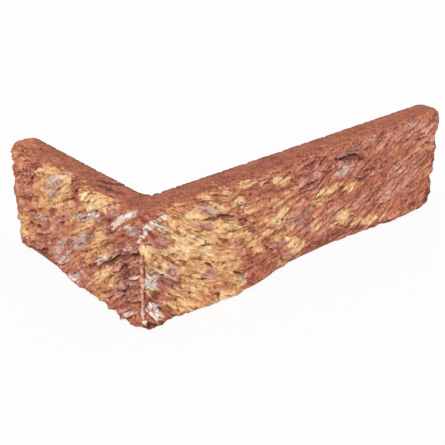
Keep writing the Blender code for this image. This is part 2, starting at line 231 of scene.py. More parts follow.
        Patch(3.5, 31, 3, 1, -80), Patch(0.5, 12.5, 3.5, 2, 14), Patch(7, 13, 4, 1.8, -32),
        Patch(9.5, 8, 4.5, 1.5, -39), Patch(9.5, 33.5, 6, 0.8, -36, 0.9), Patch(1, 6, 1.5, 1, -7),
        Patch(-17, 57, 7.5, 1.5, 34), Patch(-9.5, 63, 5.5, 1.6, 38), Patch(-31, 30.5, 5, 1.5, 36),
        Patch(-9, 9, 5, 1, 31, 0.8), Patch(-10, 57, 4.5, 0.5, 32, 0.7), Patch(-26, 28.5, 6.5, 0.5, 33, 0.7),
        Patch(-7, 29.5, 6, 0.5, 37, 0.9), Patch(-11, 44, 3, 0.8, 38, 0.7), Patch(-44, 50, 10, 1.1, 19, 0.8),
        Patch(-89, 31.5, 4.5, 1.3, 26, 0.8), Patch(-85, 16.5, 3, 1, 2, 0.7),
        Patch(-33, 28.5, 8, 1.1, 41, 0.9), Patch(-77, 5.5, 4.5, 1, 16, 0.8), Patch(-62, 4, 5, 0.9, 12, 0.8),
        Patch(-72, 11.5, 6, 0.8, 38, 0.8), Patch(-66, 18, 5, 0.8, 40, 0.8),
    ),
    # Painted shade in pits, creases, slots and bed cracks, and where the foot and ends turn away.
    Tone.DARK: (
        Patch(7, 3, 7, 2.2, -10), Patch(8, 21, 3, 4, -60, 0.7), Patch(41, 51, 5, 1, -13, 0.8),
        Patch(51, 48, 10, 1.3, -20, 0.8), Patch(56, 48, 5, 0.8, -18, 0.7), Patch(101, 24, 6, 2, -40, 0.6),
        Patch(41, 25.5, 3, 0.8, -29), Patch(38, 18, 2.5, 0.8, -26), Patch(46, 7.5, 2, 0.8, -13),
        Patch(39, 37.5, 3, 1, -19), Patch(-26, 30, 11, 1.3, 33), Patch(-8.5, 41.5, 11.5, 0.8, 32),
        Patch(-14, 31, 5.5, 2.3, 29), Patch(-8, 16, 5, 1, 19, 0.8), Patch(-15, 17.5, 3, 0.5, 23),
        Patch(-52, 60.5, 4.5, 1, 15, 0.8), Patch(-53, 55.5, 4, 0.8, 25, 0.8), Patch(-57, 66, 3, 1, 59, 0.7),
        Patch(-39.5, 78.2, 7.5, 1.2, 28, 1.1), Patch(-33, 73, 9, 2, 10, 0.7),
        Patch(-30, 69.5, 7, 1.5, 0, 0.7), Patch(-98, 22.5, 7, 0.8, 18, 0.8),
        Patch(-96, 32.5, 4, 0.8, 9, 0.8), Patch(155, 53.4, 7, 2, -8, 1.7),
        Patch(127, 7, 9, 2.5, -10, 0.7), Patch(-14, 30, 4, 2.8, 35), Patch(172, 4, 14, 2, -15, 0.8),
        Patch(213, 2, 28, 2.5, 0, 0.8), Patch(236, 42, 2, 6, 0, 0.7), Patch(236, 26, 2, 5, 0, 0.7),
        Patch(233, 7, 5, 4, 20, 0.7), Patch(-92, 9, 3, 1.3, 30), Patch(-89, 11, 3.5, 1.5, 27),
        Patch(-98, 4, 7, 2.5, 10), Patch(-108, 5, 8, 2, 0),
    ),
}

# Folds of the face.
CREASES: tuple[Crease, ...] = (
    Crease(12, 55.5, 5, -30, 0, 0.6), Crease(14, 52, 4, -35, 0, 0.6), Crease(4, 49.5, 3, -15),
    Crease(35, 46, 3, -30, 0, 0.6), Crease(38, 61.5, 7, -8), Crease(42, 50.7, 5, -6, 0, 0.9),
    Crease(47, 48, 3, -15, 0, 0.6), Crease(56, 48, 5, -13, 0, 0.9), Crease(69, 41, 9, -26, 0, 1.0),
    Crease(62, 13, 2.5, -17), Crease(80, 37.5, 4, -10), Crease(83, 62, 3, 6),
    Crease(83, 58.4, 4, -3, 0, 0.9), Crease(69, 71, 3, -5), Crease(104, 58.5, 3, -3),
    Crease(109, 56.5, 5, 8, 0, 1.1), Crease(111, 53.8, 4, 16, 0, 0.9), Crease(119, 49.8, 6, 5, 0.3, 1.2),
    Crease(118, 64, 8, -5, 0, 0.9), Crease(104, 31.3, 2, -18, 0, 0.9), Crease(109, 27.6, 3, 8, 0, 0.7),
    Crease(110, 31.6, 3, 13, 0, 0.6), Crease(124, 24.4, 2, -5), Crease(122, 37.5, 5, -12),
    Crease(133, 32, 5, -10),
    Crease(127, 53.2, 5, -29, 0, 1.1), Crease(147, 55.4, 11, -9, 0.3, 1.4), Crease(153, 58.7, 8.5, -4),
    Crease(160, 39.8, 7, -23, 0.2, 1.1), Crease(173, 38.7, 4.5, 11, 0.3, 1.2),
    Crease(170, 45.2, 3, 8, 0, 0.9), Crease(160, 46.7, 3.5, -2, 0, 0.7), Crease(172, 42, 4, 16, 0.3, 0.8),
    Crease(178, 45, 5, 18, 0.3, 0.8), Crease(150, 11, 5, -20), Crease(162, 5, 7, -18, 0, 1.0),
    Crease(179, 60.5, 6, -6, 0.3, 1.1), Crease(186, 62, 6, -8, 0, 0.6), Crease(189, 20.5, 2.5, 13),
    Crease(195, 15.8, 4.5, 3, 0.2, 1.2), Crease(201, 18.1, 3.5, 24, 0, 1.1), Crease(196, 21.7, 3, 17),
    Crease(185, 15.5, 3.5, -7, 0, 1.1), Crease(202, 44.1, 2.5, 10, 0, 1.1), Crease(208, 46.5, 3.2, 16),
    Crease(207, 39.6, 6, 6, 0.3, 1.2), Crease(204, 26.4, 6.5, 3), Crease(201, 32.4, 7, -2, 0, 0.7),
    Crease(223, 50.1, 6.5, 3, 0.4, 1.3), Crease(224, 54.7, 5, 12, 0.2, 1.2), Crease(196, 63, 7, 2, 0, 0.9),
    Crease(207, 62.3, 6.5, 1), Crease(226, 45, 5, 8, 0.2), Crease(232, 37.6, 5, 12, 0.3, 0.9),
    Crease(214, 8, 5, -10, 0, 0.6), Crease(233, 14, 3, 0, 0, 0.7),
    Crease(-44, 56.8, 4, 29, 0, 1.0), Crease(-24, 64.9, 3.5, 31),
    Crease(-24, 32, 13, 35, 0, 1.7), Crease(-16, 28.5, 5, 50, 0, 1.4), Crease(-8, 15.5, 5, 18, 0.2, 1.2),
    Crease(-18, 16.5, 7, 28, 0.2, 1.1), Crease(-12, 36.5, 8, 33, 0.2, 1.0),
    Crease(-6, 42.3, 5, 28, 0.2, 0.9), Crease(-16, 51.8, 6, 20, 0.1, 0.9),
    Crease(-25, 46.3, 5, 35, 0.1, 0.9), Crease(-24, 41, 7, 38), Crease(-20, 38, 8, 38),
    Crease(-9, 22, 7, 33, 0.2), Crease(-6, 29, 6, 38),
    Crease(-54, 58.6, 4, 50, 0, 1.0), Crease(-57, 54, 6, 28, 0.1, 1.1), Crease(-47, 55.5, 3, 25, 0, 0.9),
    Crease(-47, 47.2, 6, 28), Crease(-55, 43, 6, 28), Crease(-75, 64, 4, 20, 0, 0.9),
    Crease(-84, 64.5, 4, 20), Crease(-88, 60.5, 7, 22, 0.2, 1.0), Crease(-96, 53, 6, 40, 0.1, 1.0),
    Crease(-68, 36.5, 6, 30, 0.1), Crease(-72, 34, 7, 28), Crease(-85, 33, 6, 30, 0.1, 0.9),
    Crease(-92, 35.5, 8, 20, 0.1, 0.9), Crease(-101, 30.5, 8, 22, 0.2, 1.1),
    Crease(-112, 27.5, 5, 10, 0.1, 0.9), Crease(-88, 20.5, 9, 28, 0.1, 1.0), Crease(-72, 8.5, 7, 30, 0.1),
    Crease(-98, 6.5, 4, 55, 0, 1.0), Crease(-28, 9, 7, 38, 0.1, 0.7), Crease(-50, 8, 8, 32, 0.1, 0.7),
    Crease(-50, 17, 8, 28, 0.1, 0.7), Crease(-42, 22, 8, 35, 0.1, 0.7), Crease(-60, 31, 7, 30, 0.1, 0.7),
)

# Cracks in the upper bed.
BED_CREASES: tuple[Crease, ...] = (
    Crease(-39.5, 78.5, 8, 28, 0, 1.9), Crease(-33, 73, 7, 12, 0.3, 1.3), Crease(-29, 69, 5, 5, 0, 1.2),
    Crease(-58, 76, 6, 4, 0, 0.6), Crease(-84, 70, 7, 3, 0, 0.7), Crease(-104, 75, 6, -4, 0, 0.8),
    Crease(-112, 70, 5, 0, 0, 0.8), Crease(58, 70, 8, 3, 0, 0.8), Crease(84, 72.5, 6, -2, 0, 0.6),
    Crease(97, 69, 4, 4, 0, 1.0), Crease(112, 70.5, 6, 5, 0, 0.9), Crease(131, 70, 5, 8, 0, 0.8),
    Crease(160, 74, 9, 2, 0, 0.5), Crease(186, 69, 5, 3, 0, 0.7), Crease(214, 72, 6, 3, 0, 0.6),
    Crease(30, 75, 10, 0, 0, 0.5), Crease(-12, 76, 8, 2, 0, 0.5),
)

# Pits, as ovals whose strength is their depth.
PITS: tuple[Patch, ...] = (
    Patch(41.5, 36, 1.6, 1.1, -20, 1.3), Patch(38, 37, 1.4, 0.9, -20, 0.8),
    Patch(42.5, 24.5, 3, 0.8, -42, 1.5), Patch(40, 17, 2.4, 0.9, -35, 1.2),
    Patch(46.5, 6, 1.5, 1.2, 0, 1.1), Patch(62, 12.5, 3, 0.8, -25, 1.1), Patch(4, 16, 1.3, 1.8, 0, 1.5),
    Patch(12, 30.3, 2, 0.7, -35, 1.0), Patch(11, 10.5, 2, 0.8, -40, 0.9),
    Patch(73.5, 27, 2, 1.6, -30, 0.9), Patch(85, 18.8, 2.6, 1.2, -30, 1.1),
    Patch(93.8, 15.6, 1.2, 0.8, 0, 0.8), Patch(101, 39, 1.5, 1.5, 0, 0.8),
    Patch(119.2, 34, 2, 1, -10, 1.1), Patch(124, 23.6, 3, 0.9, -8, 1.1),
    Patch(156.5, 15.5, 2.5, 1.5, -20, 0.6), Patch(186, 15.2, 1.5, 0.8, 0, 0.9),
    Patch(215, 8, 2.5, 1, -10, 0.8), Patch(5, 3.5, 2.5, 1.5, -15, 1.4), Patch(9, 2, 2, 1.2, 0, 1.2),
    Patch(2, 18.5, 1.3, 1, 0, 1.0), Patch(-3.4, 11, 0.9, 2.2, -15, 1.6),
    Patch(-86, 43.8, 1.7, 1.1, 10, 1.2), Patch(-72, 37.7, 1.4, 0.8, 20, 1.0),
    Patch(-102.5, 21.3, 2.2, 0.9, 0, 1.3), Patch(-94.5, 22.7, 1.8, 1.6, 0, 0.9),
    Patch(-91.5, 9, 1.6, 1.1, 30, 1.5), Patch(-114, 48.3, 1.8, 0.9, 15, 1.1),
    Patch(-47, 55.5, 1.5, 0.8, 20, 1.1), Patch(-83, 26, 2, 1, 30, 0.7),
    Patch(-14, 30, 3.4, 2.4, 35, 1.7), Patch(151, 53.2, 9.5, 3.2, -8, 2.4), Patch(142, 55, 8, 2, -10, 1.1),
)

# Which way the clay was dragged: (along, degrees at mid height, degrees more at the head).
FLOW: tuple[tuple[float, float, float], ...] = (
    (-120, 19, -4), (-90, 25, -4), (-60, 34, -4), (-20, 34, -5), (-3, 35, -5), (3, -46, 8), (15, -42, 8),
    (30, -32, 9), (48, -22, 8), (62, -10, 5), (78, 3, 3), (95, 12, 2), (120, 23, 0), (175, 21, 0),
    (215, 19, 0), (240, 14, 0),
)


def outer_corner() -> Vector:
    """Where the two faces meet in plan, in millimetres, from the backs' places in the record."""
    places = {mount["name"]: mount["pos_m"] for mount in frame["record"]["mounts"]}
    return Vector((places["short_back"][0] / MM - WALL, places["long_back"][1] / MM - WALL))


def smooth(values: np.ndarray, low: float, high: float) -> np.ndarray:
    """Rises from 0 at low to 1 at high without a kink.

    Args:
        values: The numbers to ease.
        low: Where the result leaves 0.
        high: Where it reaches 1; it may lie below low, for a falling ease.

    Returns:
        The eased numbers.
    """
    share = np.clip((values - low) / (high - low), 0.0, 1.0)
    return share * share * (3.0 - 2.0 * share)


def on_face(across: np.ndarray) -> np.ndarray:
    """1 on the face, falling to 0 on the beds, at places across the unrolled sheet."""
    return smooth(across, HEIGHT + 3.0, HEIGHT - 1.5) * smooth(across, -3.5, 1.0)


class Sheet:
    """The face unrolled flat and cut into small square cells, with both beds folded out beside it."""

    CELL = 0.3
    ALONG = (-138.0, 258.0)
    ACROSS = (-20.0, 85.0)
    TURNS = 512
    GAIN = 1.6

    def __init__(self) -> None:
        """Lays out the cells and the way the clay was dragged across them."""
        self.u, self.v = np.meshgrid(
            np.arange(*self.ALONG, self.CELL), np.arange(*self.ACROSS, self.CELL)
        )
        self.rows, self.columns = np.indices(self.u.shape).astype(float)
        self.angle = self._flow()

    def _flow(self) -> np.ndarray:
        """Works out which way the clay was dragged.

        Returns:
            The direction in each cell, in radians.
        """
        knots = np.array(FLOW, float).T
        middle = np.interp(self.u, knots[0], knots[1])
        lean = np.interp(self.u, knots[0], knots[2]) * (self.v / HEIGHT * 2.0 - 1.0)
        wander = 9.0 * self.noise(16.0, 9.0, 3) + 5.0 * self.noise(5.0, 4.0, 4)
        level = smooth(self.v, HEIGHT + 3.0, HEIGHT - 3.0) * smooth(self.v, -3.0, 2.0)
        return np.radians((middle + lean + wander) * level)

    @staticmethod
    def climb(along: np.ndarray) -> np.ndarray:
        """Follows a streak that starts at mid height on the outer corner.

        Args:
            along: Places along the face, in millimetres.

        Returns:
            How far the streak has risen at each of them.
        """
        knots = np.array(FLOW, float).T
        steps = np.arange(-150.0, 270.0, 0.5)
        rise = np.cumsum(np.tan(np.radians(np.interp(steps, knots[0], knots[1])))) * 0.5
        return np.interp(along, steps, rise - np.interp(0.0, steps, rise))

    def noise(self, width: float, height: float, seed: int) -> np.ndarray:
        """Gradient noise over the sheet.

        Args:
            width: Size of its grains along the face, in millimetres.
            height: Their size across it.
            seed: Which of its patterns to use.

        Returns:
            Values of about -1 to 1, one for each cell.
        """
        turns = np.random.default_rng(seed).uniform(0.0, 2.0 * math.pi, (self.TURNS, self.TURNS))
        x, y = self.u / width + self.TURNS / 2.0, self.v / height + self.TURNS / 2.0
        left, low = np.floor(x).astype(int), np.floor(y).astype(int)
        x, y = x - left, y - low
        ease_x, ease_y = smooth(x, 0.0, 1.0), smooth(y, 0.0, 1.0)
        total = np.zeros_like(x)
        for right in (0, 1):
            for up in (0, 1):
                turn = turns[(low + up) % self.TURNS, (left + right) % self.TURNS]
                slope = np.cos(turn) * (x - right) + np.sin(turn) * (y - up)
                share_x = ease_x if right else 1.0 - ease_x
                share_y = ease_y if up else 1.0 - ease_y
                total += slope * share_x * share_y
        return total * self.GAIN

    def grains(self, size: float, seed: int) -> np.ndarray:
        """Random specks of one size, in millimetres, with a mean of 0 and a spread of 1."""
        specks = np.random.default_rng(seed).standard_normal(self.u.shape)
        return self.normal(self.blur(specks, size / 2.0))

    @staticmethod
    def normal(field: np.ndarray) -> np.ndarray:
        """A field moved and scaled to a mean of 0 and a spread of 1."""
        return (field - field.mean()) / field.std()

    def blur(self, field: np.ndarray, radius: float) -> np.ndarray:
        """Softens a field with a round brush.

        Args:
            field: One value for each cell.
            radius: The brush's spread, in millimetres.

        Returns:
            The softened field.
        """
        rows = np.fft.fftfreq(field.shape[0], self.CELL)[:, None]
        columns = np.fft.rfftfreq(field.shape[1], self.CELL)[None, :]
        brush = np.exp(-2.0 * (math.pi * radius) ** 2 * (rows ** 2 + columns ** 2))
        return np.fft.irfft2(np.fft.rfft2(field) * brush, s=field.shape)

    def read(self, field: np.ndarray, rows: np.ndarray, columns: np.ndarray) -> np.ndarray:
        """A field read between its cells.

        Args:
            field: One value for each cell.
            rows: Where to read, counted in cells.
            columns: The same, along the sheet.

        Returns:
            The values there.
        """
        rows = np.clip(rows, 0.0, field.shape[0] - 1.001)
        columns = np.clip(columns, 0.0, field.shape[1] - 1.001)
        low, left = rows.astype(int), columns.astype(int)
        up, right = rows - low, columns - left
        below = field[low, left] * (1.0 - right) + field[low, left + 1] * right
        above = field[low + 1, left] * (1.0 - right) + field[low + 1, left + 1] * right
        return below * (1.0 - up) + above * up

    def at(self, field: np.ndarray, along: np.ndarray, across: np.ndarray) -> np.ndarray:
        """A field read at places on the sheet, in millimetres."""
        rows = (across - self.ACROSS[0]) / self.CELL
        return self.read(field, rows, (along - self.ALONG[0]) / self.CELL)

    def drag(self, field: np.ndarray, reach: float, stride: float = 1.5) -> np.ndarray:
        """A field smeared both ways along the drag of the clay.

        Args:
            field: One value for each cell.
            reach: How far it is smeared each way, in millimetres.
            stride: The length of one step, in cells.

        Returns:
            The smeared field, with a mean of 0 and a spread of 1.
        """
        steps = max(2, round(reach / self.CELL / stride))
        total = field.copy()
        ahead_x, ahead_y = np.cos(self.angle) * stride, np.sin(self.angle) * stride
        for sense in (1.0, -1.0):
            rows, columns = self.rows.copy(), self.columns.copy()
            for step in range(1, steps + 1):
                low = np.clip(rows, 0, field.shape[0] - 1).astype(int)
                left = np.clip(columns, 0, field.shape[1] - 1).astype(int)
                rows += sense * ahead_y[low, left]
                columns += sense * ahead_x[low, left]
                total += self.read(field, rows, columns) * (1.0 - step / (steps + 1.0))
        return self.normal(total)

    def window(self, mark: Patch | Crease, reach: float) -> tuple[slice, slice]:
        """Finds the cells that a mark can change.

        Args:
            mark: The mark.
            reach: How far from its middle they lie at most, in millimetres.

        Returns:
            The block's rows and columns.
        """
        row = (mark.height - self.ACROSS[0]) / self.CELL
        column = (mark.along - self.ALONG[0]) / self.CELL
        span = reach / self.CELL
        return (
            slice(max(0, int(row - span)), max(0, int(row + span) + 1)),
            slice(max(0, int(column - span)), max(0, int(column + span) + 1)),
        )

    def turned(self, mark: Patch | Crease, cells: tuple[slice, slice]) -> tuple[np.ndarray, np.ndarray]:
        """Measures a block of cells by a mark's own directions.

        Args:
            mark: The mark.
            cells: The block's rows and columns.

        Returns:
            Distances along the mark and across it, in millimetres.
        """
        turn = math.radians(mark.tilt)
        run, rise = self.u[cells] - mark.along, self.v[cells] - mark.height
        along = run * math.cos(turn) + rise * math.sin(turn)
        return along, rise * math.cos(turn) - run * math.sin(turn)

    def distance(self, oval: Patch, cells: tuple[slice, slice]) -> np.ndarray:
        """How far cells lie from an oval's middle, with 1 on its outline."""
        along, across = self.turned(oval, cells)
        return np.hypot(along / oval.half_length, across / oval.half_height)


class ClayFace:
    """What the mould and the hand left on the face: its relief in millimetres, and its tones."""

    # What the drag left: how high its ridges, streaks and fine lines stand, and how deep it tore.
    BROAD = 0.26
    STREAK = 0.20
    FINE = 0.09
    TEAR = 0.75

    # The chips along the upper edge, the ridge on the corner and the slots beside it.
    CHIP = 0.9
    RIDGE = 0.55
    SLOT = 0.85
    SLOT_PLACE = 2.1

    # The lip and the groove of a crease.
    LIP_FADE = 2.0
    LIP_RISE = 0.35
    GROOVE_HALF = 0.6

    SMALL_PITS = 170
    CALM = Patch(78, 8, 14, 9, 0)
    CRUMBLY = Patch(-108, 55, 16, 13, 0)
    COMBED = (
        Patch(-15, 25, 14, 24, 0, 0.9), Patch(118, 52, 13, 9, 0, 0.9), Patch(222, 50, 12, 9, 0, 0.7),
        Patch(202, 36, 12, 5, 0, 0.6), Patch(190, 18, 10, 5, 0, 0.8), Patch(172, 42, 9, 5, 0, 0.7),
        Patch(-74, 38, 26, 15, 20, -0.5), Patch(151, 53, 13, 5, -8, -0.7),
    )
    SEAM = Patch(0, 27, 1.1, 22)

    def __init__(self, sheet: Sheet) -> None:
        """Works out the relief and the tones.

        Args:
            sheet: The sheet that they are drawn on.
        """
        self.sheet = sheet
        self.wobble = sheet.noise(3.0, 3.0, 21) * 0.6 + sheet.noise(1.4, 1.4, 22) * 0.25
        self.ragged = sheet.noise(6.0, 4.0, 23) * 0.35 + sheet.noise(2.4, 1.6, 24) * 0.22
        self.crumbly = self.oval(self.CRUMBLY)
        share = on_face(sheet.v)
        self.relief = self._relief() * share + self._bed_relief() * (1.0 - share) - self._chips()
        edge = sheet.v + 2.4 * sheet.noise(8.0, 5.0, 34) + 1.2 * sheet.noise(2.4, 2.0, 35)
        self.side = smooth(edge, HEIGHT + 3.5, HEIGHT - 1.5) * smooth(sheet.v, -5.0, -1.0)
        # Above 0 in hollows and below 0 on ridges; the finish paints shade and highlights from it.
        low = sheet.blur(self.relief, 1.1)
        self.cavity = np.clip((low - self.relief) / 0.45, -1.0, 1.0)
        self.tones = {tone: self._tone(tone, seed) for seed, tone in enumerate(Tone, 40)}

    def oval(self, patch: Patch, soft: float = 0.7) -> np.ndarray:
        """1 inside a patch and 0 outside it, over the whole sheet, with a soft edge."""
        distance = self.sheet.distance(patch, (slice(None), slice(None)))
        return smooth(distance, 1.0 + soft, 1.0 - soft)

    def _relief(self) -> np.ndarray:
        """Shapes the face: streaks, tears, the seam, creases and pits.

        Returns:
            How far the clay stands out from the solid's smooth face in each cell.
        """
        sheet, crumbly = self.sheet, self.crumbly
        streaks = sheet.drag(sheet.grains(1.2, 11), 6.0)
        broad = sheet.drag(sheet.grains(2.6, 12), 8.0, 2.0)
        fine = sheet.drag(sheet.grains(0.7, 13), 3.0)
        streaky = (1.0 - 0.7 * self.oval(self.CALM)) * (1.0 - 0.5 * crumbly)
        streaky *= 1.0 + sum(patch.strength * self.oval(patch) for patch in self.COMBED)
        relief = streaky * (self.STREAK * streaks + self.BROAD * broad + self.FINE * fine)
        relief += (0.07 + 0.09 * crumbly) * sheet.grains(0.9, 14)
        relief += (0.04 + 0.26 * crumbly) * sheet.grains(1.7, 15)
        relief -= streaky * self._torn()
        relief += self._seam()
        for crease in CREASES:
            self._fold(relief, crease)
        for pit in PITS + self._small_pits():
            self._sink(relief, pit)
        return relief

    def _bed_relief(self) -> np.ndarray:
        """Shapes the beds: scores and cracks that run along the legs.

        Returns:
            How far each cell stands out, which is mostly below 0.
        """
        sheet = self.sheet
        relief = -0.20 * smooth(sheet.noise(14.0, 2.4, 31), 0.25, 0.85)
        relief -= 0.14 * smooth(sheet.noise(5.0, 1.2, 32), 0.3, 0.9)
        relief -= 0.25 * smooth(sheet.noise(3.0, 2.0, 33), 0.45, 0.9)
        for crease in BED_CREASES:
            self._fold(relief, crease)
        return relief

    def _chips(self) -> np.ndarray:
        """Breaks chips off along the upper edge of the face.

        Returns:
            Their depth in each cell.
        """
        sheet = self.sheet
        chipped = smooth(sheet.noise(6.0, 4.0, 36) + 0.5 * sheet.noise(2.0, 1.6, 37), 0.0, 0.9)
        return self.CHIP * chipped * np.exp(-(((sheet.v - HEIGHT) / 2.2) ** 2))

    def _torn(self) -> np.ndarray:
        """Tears the face thinly along the drag, in clusters.

        Returns:
            The depth of the tears in each cell.
        """
        sheet = self.sheet
        lines = sheet.drag(sheet.grains(2.2, 16), 9.0)
        clusters = smooth(sheet.normal(sheet.blur(sheet.grains(4.0, 17), 3.5)), -0.1, 0.8)
        return self.TEAR * np.exp(-((lines / 0.15) ** 2)) * clusters

    def _seam(self) -> np.ndarray:
        """Shapes the narrow ridge on the outer corner and the slots beside it.

        Returns:
            How far each cell stands out, above 0 on the ridge and below it in the slots.
        """
        across = np.abs(self.sheet.u + 0.5 * self.wobble)
        span = smooth(np.abs(self.sheet.v - self.SEAM.height), self.SEAM.half_height, 15.0)
        ridge = np.exp(-((across / self.SEAM.half_length) ** 4))
        slots = np.exp(-(((across - self.SLOT_PLACE) / 0.7) ** 2)) * smooth(self.wobble, -0.4, 0.2)
        return span * (self.RIDGE * ridge - self.SLOT * slots)

    def _small_pits(self) -> tuple[Patch, ...]:
        """Strews small pits over the face by a fixed seed.

        Returns:
            The pits.
        """
        rng = np.random.default_rng(6)
        return tuple(
            Patch(
                rng.uniform(-118.0, 238.0), rng.uniform(2.0, 64.0), rng.uniform(0.5, 1.3),
                rng.uniform(0.4, 0.8), rng.uniform(-40.0, 40.0), rng.uniform(0.3, 0.8),
            )
            for _ in range(self.SMALL_PITS)
        )

    def _fold(self, relief: np.ndarray, crease: Crease) -> None:
        """Presses one crease into the relief.

        Args:
            relief: The sheet's relief, which changes.
            crease: Where it lies, and how deep it is.
        """
        cells = self.sheet.window(crease, crease.half_length + 3.0 * self.LIP_FADE)
        along, across = self.sheet.turned(crease, cells)
        share = along / crease.half_length
        across = across - crease.sag * share ** 2 + 0.8 * self.wobble[cells]
        taper = np.clip(1.0 - share ** 2, 0.0, 1.0) ** 1.2
        above, below = np.clip(across, 0.0, None), np.clip(across, None, 0.0)
        lip = (1.0 - np.exp(-above / self.LIP_RISE)) * np.exp(-above / self.LIP_FADE)
        groove = np.exp(-((across / self.GROOVE_HALF) ** 2))
        hollow = (across < 0.0) * np.exp(below / 1.4)
        relief[cells] += crease.depth * taper * (0.65 * lip - 0.85 * groove - 0.25 * hollow)

    def _sink(self, relief: np.ndarray, pit: Patch) -> None:
        """Presses one pit into the relief.

        Args:
            relief: The sheet's relief, which changes.
            pit: Where it lies; its strength is its depth.
        """
        cells = self.sheet.window(pit, 2.5 * pit.half_length + 1.0)
        distance = self.sheet.distance(pit, cells)
        relief[cells] -= pit.strength * smooth(distance + 0.5 * self.wobble[cells], 1.5, 0.4)

    def _tone(self, tone: Tone, seed: int) -> np.ndarray:
        """How densely one tone lies in each cell.

        Args:
            tone: Which clay.
            seed: What its streaks are drawn from.

        Returns:
            0 where there is none, up to 1.3; the finish breaks it up, and it shows above about one half.
        """
        sheet = self.sheet
        density = np.zeros_like(sheet.u)
        for patch in PATCHES[tone]:
            cells = sheet.window(patch, 2.2 * max(patch.half_length, patch.half_height))
            distance = sheet.distance(patch, cells)
            level = patch.strength * smooth(distance + self.ragged[cells], 2.0, 0.0)
            density[cells] = np.maximum(density[cells], level)
        streaks = sheet.drag(sheet.grains(1.4, seed), 6.0, 2.0)
        return np.clip(density + 0.15 * streaks * smooth(density, 0.0, 0.3), 0.0, 1.3)


class CadSkin:
    """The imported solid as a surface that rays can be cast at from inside."""

    def __init__(self, node: str) -> None:
        """Copies a node's mesh, merges its loose triangles and sorts them for casting.

        Args:
            node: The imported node's name.
        """
        mesh = bmesh.new()
        mesh.from_mesh(frame["nodes"][node].data)
        bmesh.ops.remove_doubles(mesh, verts=mesh.verts, dist=1e-6)
        self.tree = BVHTree.FromBMesh(mesh)
        mesh.free()

    def cast(self, origin: Vector, target: Vector) -> Vector:
        """Where a ray from inside the solid, through a target, leaves it.

        Args:
            origin: A point inside the solid.
            target: A point that the ray passes through.

        Returns:
            The point on the solid's surface.
        """
        hit = self.tree.ray_cast(origin, target - origin)[0]
        if hit is None:
            raise ValueError(f"no surface between {origin} and {target}")
        return hit


@dataclass(frozen=True)
class Spot:
    """One place on a cross-section: its share of the wall's depth, its height and its place across
    the unrolled sheet, in millimetres."""

    depth: float
    height: float
    across: float


@dataclass(frozen=True)
class Cut:
    """One loop round the slip: where it starts inside the wall, where it aims on the face and on the
    back, all in plan, and how far it has shrunk across the leg's end."""

    along: float
    middle: Vector
    face: Vector
    back: Vector
    shrink: float = 1.0


